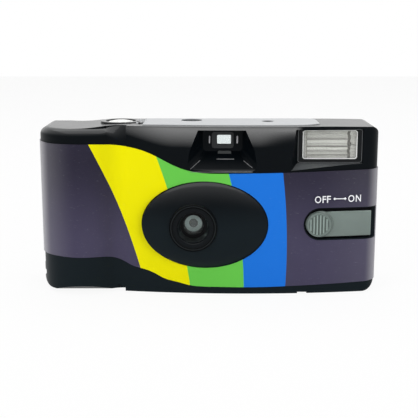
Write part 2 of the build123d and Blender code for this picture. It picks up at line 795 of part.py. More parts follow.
def film_strip():
    """The stretch of film between the cartridge's lip and the roll."""
    left = cartridge_x + hub_radius + chamber_gap
    low = lens_z - film_width / 2
    strip = span_box(left, roll_x, film_y, film_y + film_thickness, low, low + film_width)
    pitch = film_width * 0.1357
    hole = Box(pitch * 0.417, 4 * film_thickness, pitch * 0.59)
    holes = []
    edge = sprocket_bottom_z + sprocket_thickness / 2 - lens_z
    first = -int((sprocket_x - left) / pitch - 0.5)
    last = int((roll_x - sprocket_x) / pitch - 0.5)
    for k in range(first, last + 1):
        x = sprocket_x + pitch * k
        for z in (lens_z - edge, lens_z + edge):
            holes.append(Pos(x, film_y + film_thickness / 2, z) * hole)
    return strip - holes


def film_roll():
    """The unexposed film, wound on its core in a plain spiral of turns."""
    low = lens_z - film_width / 2
    roll = tube(0, 0, low, low + film_width, roll_outer_radius, roll_core_radius + press_gap)
    groove = film_thickness / 2
    turns = tube(0, 0, 0, groove, roll_outer_radius * 0.85, roll_outer_radius * 0.8)
    turns = turns + tube(0, 0, 0, groove, roll_outer_radius * 0.65, roll_outer_radius * 0.6)
    roll = roll - Pos(0, 0, low + film_width - groove) * turns
    return Pos(roll_x, roll_y, 0) * roll


def supply_spool():
    """The core that the film roll is wound on, with a flange and two journals."""
    low = lens_z - film_width / 2 - seat_gap
    floor = roll_floor_z + chassis_wall
    core = tube(0, 0, low - spool_flange, deck_z + deck_thickness, roll_core_radius,
                roll_core_radius / 2)
    flange = tube(0, 0, low - spool_flange, low, spool_flange_radius, roll_core_radius / 2)
    journal = tube(0, 0, floor - chassis_wall / 2, low, roll_core_radius * 0.7,
                   roll_core_radius / 2)
    slit = span_box(-roll_core_radius, -roll_core_radius / 4, -spool_flange / 4,
                    spool_flange / 4, low, deck_z)
    return Pos(roll_x, roll_y, 0) * (core + flange + journal - slit)


def sprocket_wheel():
    """The eight-toothed wheel that the film turns, with its shaft and counter cam."""
    low = sprocket_bottom_z
    wheel = post(0, 0, low, low + sprocket_thickness, sprocket_radius)
    tip = film_y - sprocket_y - run_gap
    height = tip - sprocket_radius + sprocket_tooth / 2
    tooth = Pos(tip - height / 2, 0, low + sprocket_thickness / 2) * Rot(0, 90, 0) * Cone(
        sprocket_tooth, sprocket_tooth / 2, height)
    for k in range(sprocket_teeth):
        wheel = wheel + Rot(0, 0, k * 360 / sprocket_teeth) * tooth
    shaft = post(0, 0, low - chassis_wall, counter_bottom_z + counter_thickness,
                 sprocket_shaft_radius)
    cam_z = shelf_z + shelf_thickness + seat_gap * 2
    cam = post(sprocket_shaft_radius / 2, 0, cam_z, cam_z + sprocket_thickness,
               sprocket_shaft_radius * 1.4)
    return Pos(sprocket_x, sprocket_y, 0) * (wheel + shaft + cam)


def counter_disc():
    """The frame counter, a fine-toothed disc on its post under the round window."""
    low = counter_bottom_z
    disc = post(0, 0, low, low + counter_thickness, counter_radius)
    pitch = 2 * pi * counter_radius / counter_teeth
    notch = Pos(counter_radius, 0) * Rot(0, 0, 45) * Rectangle(pitch / 2, pitch / 2)
    notches = Sketch() + [place * notch for place in PolarLocations(0, counter_teeth)]
    disc = disc - extrude(Plane.XY.offset(low - overrun) * notches,
                          counter_thickness + 2 * overrun)
    hub = post(0, 0, low - counter_thickness, low, counter_post_radius * 1.8)
    bore = post(0, 0, low - 2 * counter_thickness, low + counter_thickness / 2,
                counter_post_radius + run_gap)
    return Pos(counter_x, counter_y, 0) * (disc + hub - bore)


def tunnel(grow):
    """The light tunnel, widening from the stop to the film gate."""
    small = tunnel_front_half + grow
    ahead = Plane.XZ.offset(-plate_front_y) * Pos(lens_x, lens_z) * Rectangle(2 * small, 2 * small)
    behind = Plane.XZ.offset(-gate_front_y) * Pos(lens_x, lens_z) * Rectangle(
        gate_width + 2 * grow, gate_height + 2 * grow)
    return loft([behind, ahead])


def chamber_ring(x, y, inner, thickness, z0, z1, back_y):
    """A film chamber's round wall, open at the back."""
    ring = tube(x, y, z0, z1, inner + thickness, inner)
    reach = inner + 2 * thickness
    return ring & span_box(x - reach, x + reach, y - reach, back_y, z0, z1)


def trough():
    """The half-round cover over the battery."""
    outer = battery_radius + trough_gap + trough_wall
    left = battery_x - battery_length / 2
    right = battery_x + battery_length / 2
    half = log(battery_y, battery_z, left, right, outer)
    front = battery_y - battery_radius
    return half & span_box(left, right, front, gate_front_y, battery_z, deck_z)


def chassis():
    """The inner frame: both film chambers, gate, light tunnel, battery cover and deck."""
    chamber_radius = cartridge_radius + chamber_gap
    frame = chamber_ring(cartridge_x, cartridge_y, chamber_radius, chassis_wall,
                         cartridge_bottom_z + cartridge_cap, shelf_z, gate_front_y)
    frame = frame & INNER
    frame = frame + chamber_ring(roll_x, roll_y, roll_chamber_radius, chassis_wall, wall,
                                 deck_z, gate_front_y)
    floor = post(roll_x, roll_y, roll_floor_z, roll_floor_z + chassis_wall,
                 roll_chamber_radius + chassis_wall / 2)
    frame = frame + (floor & span_box(-side_x, side_x, front_y, gate_back_y, 0, deck_z))
    gate_low = lens_z - film_width / 2 - chassis_wall
    gate = span_box(gate_left_x, gate_right_x, gate_front_y, gate_back_y, gate_low,
                    deck_z + deck_thickness)
    web_left = span_box(cartridge_x + chamber_radius * 0.75, gate_left_x + chassis_wall,
                        gate_front_y - chassis_wall / 2, gate_front_y + chassis_wall / 2,
                        gate_low, shelf_z)
    deck = span_box(cartridge_x + chamber_radius, roll_x + roll_chamber_radius, deck_front_y,
                    gate_front_y + chassis_wall, deck_z, deck_z + deck_thickness)
    plate = span_box(lens_x - holder_half_width - holder_wall * 3,
                     lens_x + holder_half_width + holder_wall * 3, plate_front_y,
                     plate_front_y + plate_thickness, lens_z - holder_half_height - wall,
                     deck_z + deck_thickness)
    frame = frame + gate + web_left + deck + plate + trough() + tunnel(tunnel_wall)
    for web_share in (-0.4, 0.15):
        x = battery_x + battery_length * web_share
        frame = frame + span_box(x - chassis_wall / 2, x + chassis_wall / 2,
                                 battery_y + battery_radius + trough_gap, gate_front_y,
                                 battery_z, lens_z - gate_height / 2)
    shelf = post(cartridge_x, cartridge_y, shelf_z, shelf_z + shelf_thickness, wheel_radius)
    shelf = shelf + span_box(cartridge_x + hub_radius, shelf_right_x, deck_front_y,
                             gate_front_y, shelf_z, shelf_z + shelf_thickness)
    web = span_box(gate_left_x - 3 * chassis_wall, gate_left_x, gate_front_y - 2 * chassis_wall,
                   gate_front_y, deck_z, shelf_z)
    front_web = span_box(gate_left_x - 3 * chassis_wall, gate_left_x, deck_front_y,
                         deck_front_y + 2 * chassis_wall, deck_z, shelf_z)
    back_room = span_box(-side_x, side_x, front_y, gate_front_y + chassis_wall, 0, body_height)
    frame = frame + (shelf & INNER & back_room) + web + front_web
    frame = frame + post(counter_x, counter_y, shelf_z, counter_bottom_z - counter_thickness
                         - seat_gap, counter_post_radius + chassis_wall)
    frame = frame + post(counter_x, counter_y, deck_z,
                         counter_bottom_z + counter_thickness / 2 - seat_gap,
                         counter_post_radius)
    frame = frame + post(lamp_x, lamp_y, deck_z, lamp_bottom_z, lamp_radius * 1.5)
    bracket = span_box(sprocket_x - sprocket_radius, sprocket_x + sprocket_radius,
                       0, gate_front_y, sprocket_bottom_z - 2 * chassis_wall,
                       sprocket_bottom_z - chassis_wall / 2)
    clear_chamber = post(cartridge_x, cartridge_y, 0, deck_z, chamber_radius)
    frame = frame + (bracket - clear_chamber)
    for x_share in (0.15, 0.6):
        x = capacitor_left_x + capacitor_length * x_share
        saddle = span_box(x, x + 2 * chassis_wall, capacitor_y - capacitor_radius,
                          gate_front_y + chassis_wall, deck_z, capacitor_z)
        frame = frame + (saddle - log(capacitor_y, capacitor_z, x - overrun, x + 4 * overrun,
                                      capacitor_radius + seat_gap))
    for z_share in (0.1, 0.85):
        z = board_bottom_z + (board_top_z - board_bottom_z) * z_share
        frame = frame + span_box(roll_x + roll_chamber_radius, board_x,
                                 roll_y - 2 * chassis_wall, roll_y + 2 * chassis_wall,
                                 z - chassis_wall, z + chassis_wall)
    for ear_y in (-lever_width / 2 - 2 * seat_gap - chassis_wall, lever_width / 2 + 2 * seat_gap):
        frame = frame + span_box(lever_x - 2 * chassis_wall, lever_x + 2 * chassis_wall,
                                 stem_y + ear_y, stem_y + ear_y + chassis_wall, deck_z,
                                 lever_z + 2 * pin_radius)
    frame = frame + post(striker_x, striker_y, deck_z,
                         deck_z + deck_thickness + seat_gap, 2 * pin_radius)
    frame = frame + span_box(finder_x - finder_lens_width / 2, finder_x + finder_lens_width / 2,
                             gate_front_y - 4 * chassis_wall, gate_front_y + chassis_wall,
                             lens_z + gate_height / 2,
                             finder_rear_z - finder_lens_height / 2 - finder_wall)
    # openings through the frame
    frame = frame - tunnel(0)
    frame = frame - barrel(lens_x, lens_z, 2 * front_y, plate_front_y + 2 * plate_thickness,
                           2 * stop_radius)
    frame = frame - span_box(lens_x - gate_width / 2, lens_x + gate_width / 2,
                             gate_front_y - seat_gap, 2 * gate_back_y, lens_z - gate_height / 2,
                             lens_z + gate_height / 2)
    frame = frame - post(cartridge_x, cartridge_y, 0, cartridge_bottom_z + cartridge_height
                         + chamber_gap, chamber_radius)
    frame = frame - post(cartridge_x, cartridge_y, 0, body_height, hub_radius + chamber_gap)
    frame = frame - post(roll_x, roll_y, roll_floor_z + chassis_wall, deck_z,
                         roll_chamber_radius)
    frame = frame - post(roll_x, roll_y, 0, body_height, roll_core_radius * 0.7 + run_gap)
    frame = frame - post(roll_x, roll_y, deck_z - overrun, body_height,
                         roll_core_radius + run_gap)
    half_room = battery_length / 2 + battery_nub + 3 * spring_wire
    frame = frame - log(battery_y, battery_z, battery_x - half_room, battery_x + half_room,
                        battery_radius + trough_gap)
    pocket = sprocket_radius + 2 * sprocket_tooth
    frame = frame - post(sprocket_x, sprocket_y, sprocket_bottom_z - chassis_wall / 2,
                         sprocket_bottom_z + sprocket_thickness + chassis_wall / 2, pocket)
    frame = frame - post(sprocket_x, sprocket_y, sprocket_bottom_z - 3 * chassis_wall,
                         body_height, sprocket_shaft_radius + run_gap)
    frame = frame - post(stem_x, stem_y, deck_z, body_height, stem_radius + run_gap)
    lever_end = stem_x - 2 * stem_radius
    frame = frame - span_box(lever_end - chassis_wall, lever_x - 2 * chassis_wall,
                             stem_y - lever_width, stem_y + lever_width,
                             deck_z + deck_thickness, shelf_z)
    frame = frame - span_box(lever_end - chassis_wall, stem_x + 3 * stem_radius,
                             stem_y - lever_width * 0.65, stem_y + lever_width * 0.65,
                             deck_z - overrun, shelf_z)
    frame = frame - post(striker_x, striker_y, 0, body_height, pin_radius)
    frame = frame - post(pawl_x, pawl_y, 0, body_height, pin_radius)
    frame = frame - barrel(lens_x + blade_pivot_dx, lens_z + blade_pivot_dz, front_y, 0,
                           pin_radius)
    pin_ends = lever_width / 2 + 2 * seat_gap + 2 * chassis_wall
    frame = frame - barrel(lever_x, lever_z, stem_y - pin_ends, stem_y + pin_ends,
                           pin_radius)
    slot_z = lens_z + blade_tail - 2 * wall
    frame = frame - span_box(striker_x - striker_reach / 4, striker_x + striker_reach * 3 / 4,
                             plate_front_y - overrun, plate_front_y + plate_thickness,
                             slot_z, deck_z + deck_thickness + overrun)
    return frame & housing(wall + press_gap)


def lens_ring():
    """The lens surround: grooved face and a conical well, turned about the lens axis."""
    front, back = -ring_front_y, -ring_back_y
    lip = ring_groove_width
    well = -well_end_y
    outline = Polyline(
        (ring_radius, back), (ring_radius, front - lip), (ring_radius - lip, front),
        (ring_groove_radius + lip, front), (ring_groove_radius + lip, front - ring_groove_depth),
        (ring_groove_radius, front - ring_groove_depth), (ring_groove_radius, front),
        (well_radius, front - lip), (well_end_radius, well),
        (well_end_radius, well - lip), (lens_radius + holder_wall + run_gap * 2, well - lip),
        (lens_radius + holder_wall + run_gap * 2, back), close=True)
    turned = revolve(Plane.XZ * make_face(outline), Axis.Z, 360)
    return Pos(lens_x, 0, lens_z) * Rot(90, 0, 0) * turned


def lens_holder():
    """The plate and cup that carry the lens in front of the shutter."""
    back_y = holder_front_y + holder_thickness
    shape = RectangleRounded(2 * holder_half_width, 2 * holder_half_height, holder_wall * 2)
    holder = slab(Pos(lens_x, lens_z) * shape, holder_front_y, back_y)
    cup_front = lens_back_y - lens_edge - retainer_height
    holder = holder + barrel(lens_x, lens_z, cup_front, back_y, lens_radius + holder_wall)
    holder = holder - barrel(lens_x, lens_z, cup_front - overrun, lens_back_y,
                             lens_radius + press_gap)
    holder = holder - barrel(lens_x, lens_z, cup_front, back_y + overrun,
                             lens_radius - holder_wall)
    for side, level in ((-1, -1), (-1, 1), (1, -1)):
        x = lens_x + side * (holder_half_width - holder_wall)
        z = lens_z + level * (holder_half_height - holder_wall)
        holder = holder + barrel(x, z, back_y, plate_front_y, holder_wall)
    pivot_x, pivot_z = lens_x + blade_pivot_dx, lens_z + blade_pivot_dz
    return holder - barrel(pivot_x, pivot_z, front_y, plate_front_y, pin_radius + press_gap)


def taking_lens():
    """A single meniscus lens: flat rim, domed front, hollow back."""
    front = lens_back_y - lens_edge
    clear = lens_radius - holder_wall / 2
    rim = barrel(lens_x, lens_z, front, lens_back_y, lens_radius)
    bend = (clear ** 2 + lens_bulge ** 2) / (2 * lens_bulge)
    cap = Pos(lens_x, front - lens_bulge + bend, lens_z) * Sphere(bend)
    cap = cap & barrel(lens_x, lens_z, front - 2 * lens_bulge, front, clear)
    hollow = Pos(lens_x, lens_back_y - lens_bulge / 3 + 2 * bend, lens_z) * Sphere(2 * bend)
    return rim + cap - hollow


def lens_retainer():
    front = lens_back_y - lens_edge - retainer_height
    ring = barrel(lens_x, lens_z, front, lens_back_y - lens_edge, lens_radius)
    return ring - barrel(lens_x, lens_z, front - overrun, 0, lens_radius * 0.87)


def aperture_plate():
    front = holder_front_y + holder_thickness
    disc = barrel(lens_x, lens_z, front, front + stop_thickness, stop_disc_radius)
    return disc - barrel(lens_x, lens_z, front - overrun, 0, stop_radius)


def shutter_blade():
    """The thin leaf that covers the stop, its arm, pivot eye and the tail the striker hits."""
    pivot_x, pivot_z = blade_pivot_dx, blade_pivot_dz
    leaf = Circle(blade_radius) + Pos(pivot_x, pivot_z) * Circle(blade_arm * 0.7)
    reach = sqrt(pivot_x ** 2 + pivot_z ** 2)
    arm = Pos(pivot_x / 2, pivot_z / 2) * Rot(0, 0, degrees(atan2(pivot_z, pivot_x)))
    leaf = leaf + arm * Rectangle(reach, 0.9 * blade_arm)
    tail = rect(-blade_arm / 2, blade_arm / 2, 0, blade_tail)
    leaf = leaf + tail - Pos(pivot_x, pivot_z) * Circle(pin_radius + run_gap)
    return slab(Pos(lens_x, lens_z) * leaf, blade_front_y, blade_front_y + blade_thickness)


def shutter_pin():
    front = holder_front_y
    back = plate_front_y + plate_thickness
    return barrel(lens_x + blade_pivot_dx, lens_z + blade_pivot_dz, front, back, pin_radius)


def shutter_spring():
    """The fine hairpin spring that closes the leaf."""
    x, z = lens_x + blade_pivot_dx, lens_z + blade_pivot_dz
    wire = blade_thickness / 2
    y = plate_front_y - wire
    ring = Pos(x, y, z) * Rot(90, 0, 0) * Torus(pin_radius + 2 * wire, wire)
    leg = Pos(x + pin_radius + 2 * wire, y, z + blade_arm) * Cylinder(wire, 2 * blade_arm)
    return ring + leg


def striker_lever():
    """The cocked lever that flicks the shutter leaf's tail."""
    low = deck_z + deck_thickness + seat_gap * 2
    hub = post(striker_x, striker_y, low, low + lever_thickness * 2, 3 * pin_radius)
    finger_y = striker_y - striker_reach
    x0 = striker_x - blade_arm * 0.35
    x1 = striker_x + blade_arm * 0.35
    arm = span_box(x0, x1, finger_y, striker_y, low, low + lever_thickness)
    down = span_box(x0, x1, finger_y, finger_y + lever_thickness * 0.7,
                    lens_z + blade_tail - wall, low + lever_thickness)
    catch = span_box(catch_left_x, striker_x, striker_y - pin_radius, striker_y + pin_radius,
                     low, low + lever_thickness)
    lever = hub + arm + down + catch
    return lever - post(striker_x, striker_y, 0, body_height, pin_radius + run_gap)


def striker_pin():
    low = deck_z
    return post(striker_x, striker_y, low,
                low + deck_thickness + lever_thickness * 3, pin_radius)


def striker_spring():
    """The spring round the striker's hub."""
    low = deck_z + deck_thickness + seat_gap * 2 + lever_thickness + spring_wire
    return coil(striker_x, striker_y, low, low + lever_thickness, 3 * pin_radius
                + spring_wire / 2 + press_gap, spring_wire, 2)


def release_lever():
    """The rocker between the button's stem and the striker's catch."""
    left = stem_x - stem_radius * 1.5
    half = lever_width / 2
    bar = span_box(left, lever_right_x, stem_y - half, stem_y + half,
                   lever_z - lever_thickness / 2, lever_z + lever_thickness / 2)
    toe = span_box(lever_right_x - lever_thickness, lever_right_x, striker_y - half, stem_y,
                   lever_z - lever_thickness / 2, lever_z + lever_thickness / 2)
    pad = span_box(left, stem_x + stem_radius * 1.5, stem_y - half, stem_y + half,
                   lever_z, stem_bottom_z - seat_gap)
    eye = barrel(lever_x, lever_z, stem_y - half, stem_y + half, 1.8 * pin_radius)
    lever = bar + toe + pad + eye
    return lever - barrel(lever_x, lever_z, -side_x, side_x, pin_radius + run_gap)


def release_pin():
    reach = lever_width / 2 + 2 * seat_gap + chassis_wall
    return barrel(lever_x, lever_z, stem_y - reach, stem_y + reach, pin_radius)


def rim_place(turn, reach):
    """A place around the thumb wheel."""
    return (cartridge_x + reach * cos(radians(turn)), cartridge_y + reach * sin(radians(turn)))


pawl_x, pawl_y = rim_place(-20, wheel_radius + 3 * pin_radius)
pawl_tip_x, pawl_tip_y = rim_place(-33, wheel_radius + pin_radius * 3 / 4)


def anti_reverse_pawl():
    """The sprung pawl that keeps the thumb wheel from turning back."""
    low = shelf_z + shelf_thickness + seat_gap
    reach = sqrt((pawl_tip_x - pawl_x) ** 2 + (pawl_tip_y - pawl_y) ** 2)
    turn = degrees(atan2(pawl_tip_y - pawl_y, pawl_tip_x - pawl_x))
    pawl = post(pawl_x, pawl_y, low, low + lever_thickness, 2 * pin_radius)
    beam = Pos(reach / 2, 0, lever_thickness / 2) * Box(reach, pin_radius, lever_thickness)
    pawl = pawl + Pos(pawl_x, pawl_y, low) * Rot(0, 0, turn) * beam
    return pawl - post(pawl_x, pawl_y, 0, body_height, pin_radius + run_gap)


def pawl_pin():
    top = shelf_z + shelf_thickness + 2 * lever_thickness
    return post(pawl_x, pawl_y, shelf_z, top, pin_radius)


def battery():
    """A 1.5 volt AA cell with its raised positive end."""
    left = battery_x - battery_length / 2
    right = battery_x + battery_length / 2
    cell = log(battery_y, battery_z, left, right, battery_radius)
    ends = cell.edges().filter_by(GeomType.CIRCLE)
    cell = fillet(ends, battery_nub / 2)
    return cell + log(battery_y, battery_z, right - battery_nub, right + battery_nub,
                      battery_nub_radius)


def battery_contact_plus():
    """The folded spring-brass tab at the battery's positive end."""
    x = battery_x + battery_length / 2 + battery_nub
    t = spring_wire
    tab = span_box(x + press_gap, x + t, battery_y - battery_radius / 2,
                   battery_y + battery_radius / 2, wall + seat_gap, battery_z + battery_radius)
    fold = span_box(x + press_gap, x + 2 * t, battery_y - battery_radius / 2,
                    battery_y + battery_radius / 2, battery_z + battery_radius - t,
                    battery_z + battery_radius)
    return tab + fold


def battery_contact_minus():
    """The sprung tab at the battery's flat end."""
    x = battery_x - battery_length / 2
    t = spring_wire
    tab = span_box(x - 2 * t, x - t, battery_y - battery_radius / 2,
                   battery_y + battery_radius / 2, wall + seat_gap, battery_z + battery_radius)
    button = log(battery_y, battery_z, x - t * 1.5, x - press_gap, battery_nub_radius)
    return tab + button


def flash_bezel():
    """The frame round the flash window, trimmed to the housing's form."""
    width = flash_right_x - flash_left_x
    height = flash_top_z - flash_bottom_z
    middle_x = (flash_left_x + flash_right_x) / 2
    middle_z = (flash_bottom_z + flash_top_z) / 2
    outer = Pos(middle_x, middle_z) * RectangleRounded(
        width - 2 * seat_gap, height - 2 * seat_gap, bezel_head)
    inner = Pos(middle_x, middle_z + (bezel_foot - bezel_head) / 2) * RectangleRounded(
        width - 2 * bezel_side, height - bezel_foot - bezel_head, bezel_corner)
    return slab(outer - inner, flash_face_y, flash_face_y + bezel_depth) & OUTER


def flash_window():
    """The clear pane, ribbed on its inner face."""
    x0 = flash_left_x + bezel_side + seat_gap
    x1 = flash_right_x - bezel_side - seat_gap
    z0 = flash_bottom_z + bezel_foot + seat_gap
    z1 = flash_top_z - bezel_head - seat_gap
    front = flash_face_y + seat_gap * 3
    shape = Pos((x0 + x1) / 2, (z0 + z1) / 2) * RectangleRounded(x1 - x0, z1 - z0, bezel_corner)
    pane = slab(shape, front, front + window_thickness)
    inset = bezel_corner / 2
    pitch = (z1 - z0 - 2 * inset) / window_ribs
    for k in range(window_ribs):
        rib = log(front + window_thickness, z0 + inset + pitch * (k + 0.5), x0 + inset,
                  x1 - inset, pitch * 0.45)
        pane = pane + rib
    return pane & OUTER


def flash_reflector():
    """The bright trough behind the flash tube."""
    x0, x1 = flash_left_x + bezel_side, flash_right_x - bezel_side
    middle_z = (flash_bottom_z + flash_top_z) / 2
    half = (flash_top_z - flash_bottom_z) / 2 - reflector_border
    front = flash_face_y + bezel_depth + press_gap
    back = front + reflector_depth

    def trough_face(inset):
        arc = ThreePointArc((front - inset, middle_z - half + inset), (back - inset, middle_z),
                            (front - inset, middle_z + half - inset))
        return make_face([arc, Line(arc @ 1, arc @ 0)])

    outer = extrude(Plane.YZ.offset(x0) * trough_face(0), x1 - x0)
    inner = extrude(Plane.YZ.offset(x0 + reflector_wall) * trough_face(reflector_wall),
                    x1 - x0 - 2 * reflector_wall)
    tube_y = front + reflector_depth * 0.62
    return outer - inner - log(tube_y, middle_z, x0 - overrun, x1 + overrun,
                               tube_radius + press_gap)


def flash_tube():
    """The glass flash tube with its two metal end caps."""
    middle_z = (flash_bottom_z + flash_top_z) / 2
    tube_y = flash_face_y + bezel_depth + press_gap + reflector_depth * 0.62
    middle_x = (flash_left_x + flash_right_x) / 2
    half = tube_length / 2
    glass = log(tube_y, middle_z, middle_x - half, middle_x + half, tube_radius)
    pins = log(tube_y, middle_z, middle_x - half - tube_radius, middle_x + half + tube_radius,
               tube_radius / 3)
    return glass + pins


def circuit_board():
    """The flash board, standing on edge beside the roll chamber."""
    board = span_box(board_x, board_x + board_thickness, board_front_y, board_back_y,
                     board_bottom_z, board_top_z)
    for z_share in (0.05, 0.95):
        z = board_bottom_z + (board_top_z - board_bottom_z) * z_share
        board = board - log(roll_y, z, 0, side_x, pin_radius)
    return board


def flash_transformer():
    """The small step-up transformer: ferrite cheeks round a wound bobbin."""
    face = board_x + board_thickness
    size = transformer_depth
    y0, z0 = roll_y - size / 2, board_bottom_z + 4 * board_thickness
    core = span_box(face, face + size, y0, y0 + size * 1.2, z0, z0 + size * 1.4)
    waist = span_box(face + size * 0.75, face + 2 * size, y0 + size * 0.2, y0 + size,
                     z0 + size * 0.2, z0 + size * 1.2)
    return core - waist


def trigger_coil():
    """The flash's trigger coil, a rimmed bobbin on the board."""
    face = board_x + board_thickness
    radius = transformer_depth / 2
    z1 = board_top_z - 3 * board_thickness
    z0 = z1 - transformer_depth * 1.3
    bobbin = post(face + radius, roll_y, z0, z1, radius)
    waist = tube(face + radius, roll_y, z0 + board_thickness, z1 - board_thickness,
                 2 * radius, radius * 0.85)
    return bobbin - waist


def flash_capacitor():
    """The flash's electrolytic capacitor, with its crimped shoulder."""
    right = capacitor_left_x + capacitor_length
    can = log(capacitor_y, capacitor_z, capacitor_left_x, right, capacitor_radius)
    can = fillet(can.edges().filter_by(GeomType.CIRCLE), capacitor_radius / 8)
    x = right - capacitor_radius / 2
    crimp = log(capacitor_y, capacitor_z, x, x + capacitor_radius / 6, 2 * capacitor_radius)
    return can - (crimp - log(capacitor_y, capacitor_z, x, x + capacitor_radius / 6,
                              capacitor_radius * 0.92))


slider_tilt = degrees(atan2(slider_end_y - slider_face_y, slot_right_x - slider_knob_x))
slider_place = Pos(slider_knob_x, slider_face_y, 0) * Rot(0, 0, slider_tilt)


def flash_slider():
    """The switch: a flat strip with a round end and a round ribbed knob, on a slanted track."""
    z0, z1 = slot_bottom_z + 2 * seat_gap, slot_top_z - 2 * seat_gap
    mid = (z0 + z1) / 2
    radius = (z1 - z0) / 2
    left = (slot_left_x + seat_gap * 3 - slider_knob_x) / cos(radians(slider_tilt))
    right = (slot_right_x - seat_gap * 3 - slider_knob_x) / cos(radians(slider_tilt))
    pad = rect(left + radius, right, z0, z1) + Pos(left + radius, mid) * Circle(radius)
    body = slab(pad, 0, slider_thickness)
    knob = barrel(0, slider_knob_z, -slider_knob_rise, slider_thickness, slider_knob_radius)
    knob = fillet(knob.edges().sort_by(Axis.Y)[0], slider_knob_rise / 2)
    body = body + knob
    pitch = 2 * slider_knob_radius / (slider_knob_ribs + 1)
    for k in range(slider_knob_ribs):
        x = -slider_knob_radius + pitch * (k + 1)
        body = body - span_box(x - pitch / 5, x + pitch / 5, -2 * slider_knob_rise,
                               -slider_knob_rise * 0.8,
                               slider_knob_z - slider_knob_radius * 0.75,
                               slider_knob_z + slider_knob_radius * 0.75)
    return slider_place * body


def slider_contact():
    """The brass bridge that the slider carries over the board."""
    x = 3 * chassis_wall
    low = slot_bottom_z + 2 * wall
    bridge = span_box(x, x + 4 * chassis_wall, slider_thickness,
                      slider_thickness + stop_thickness * 2, low, low + 2 * chassis_wall)
    return slider_place * bridge


def sync_contact():
    """The folded brass blades that fire the flash when the shutter leaf opens."""
    y = plate_front_y + plate_thickness
    x0 = lens_x + holder_half_width - 2 * holder_wall
    z = lens_z + holder_half_height
    return span_box(x0, x0 + 3 * wall, y, y + stop_thickness * 2, z, z + 3 * wall)


def ready_lamp():
    """The flash-ready lamp, a small round-topped bulb under its hole."""
    top = body_height - wall / 3
    bulb = post(lamp_x, lamp_y, lamp_bottom_z, top, lamp_radius)
    return fillet(bulb.edges().sort_by(Axis.Z)[-1], lamp_radius * 0.7)


def counter_window():
    """The clear pane over the frame counter."""
    low = body_height - wall
    return post(window_x, window_y, low, body_height - seat_gap, window_radius - press_gap)


def finder_front_lens():
    width = finder_lens_width
    height = finder_lens_height
    pane = span_box(finder_x - width / 2, finder_x + width / 2, finder_front_y,
                    finder_front_y + wall, finder_z - height / 2, finder_z + height / 2)
    ball = Pos(finder_x, finder_front_y - 4 * width + wall / 2, finder_z) * Sphere(4 * width)
    return pane - ball


def finder_rear_lens():
    width = finder_lens_width
    height = finder_lens_height
    pane = span_box(finder_x - width / 2, finder_x + width / 2, finder_back_y,
                    finder_back_y + rear_wall, finder_rear_z - height / 2,
                    finder_rear_z + height / 2)
    ball = Pos(finder_x, finder_back_y + rear_wall - 4 * width, finder_rear_z) * Sphere(4 * width)
    return pane & ball


def finder_tunnel():
    """The black tunnel that joins the two finder lenses."""
    def mouth(y, z, grow):
        frame = Rectangle(finder_lens_width + 2 * grow, finder_lens_height + 2 * grow)
        return Plane.XZ.offset(-y) * Pos(finder_x, z) * frame

    front = finder_front_y + wall + seat_gap
    back = finder_back_y - seat_gap
    outer = loft([mouth(back, finder_rear_z, finder_wall), mouth(front, finder_z, finder_wall)])
    inner = loft([mouth(back, finder_rear_z, -seat_gap), mouth(front, finder_z, -seat_gap)])
    return outer - inner


def film_door():
    """The flap under the cartridge, with a ring that steadies it."""
    plate = extrude(Plane.XY.offset(base_step) * film_door_outline(0), wall)
    ring = tube(cartridge_x, cartridge_y, base_step + wall / 2, cartridge_bottom_z - seat_gap,
                hub_radius + 2 * wall, hub_radius + wall)
    room = span_box(-side_x + 2 * wall, film_door_hinge_x - wall, film_door_front_y + wall,
                    film_door_back_y - wall, 0, body_height)
    plate = plate & slab(front_outline(0), 2 * front_y, 2 * rear_y)
    plate = plate & span_box(-side_x, film_hinge_x, 2 * front_y, 2 * rear_y, 0, body_height)
    bead = barrel(film_hinge_x, film_hinge_z, film_door_front_y, film_door_back_y, wall / 2)
    reach = door_gap + hinge_pin_reach
    pins = barrel(film_hinge_x, film_hinge_z, film_door_front_y - reach,
                  film_door_back_y + reach, hinge_pin_radius)
    return plate + (ring & room) + bead + pins


def battery_door():
    """The flap under the battery, with a round bead and two pins to turn on."""
    plate = span_box(battery_door_left_x, battery_door_right_x, battery_door_front_y,
                     battery_hinge_y, 0, wall)
    bead = log(battery_hinge_y, battery_hinge_z, battery_door_left_x, battery_door_right_x,
               wall / 2)
    reach = door_gap + hinge_pin_reach
    pins = log(battery_hinge_y, battery_hinge_z, battery_door_left_x - reach,
               battery_door_right_x + reach, hinge_pin_radius)
    return plate + bead + pins


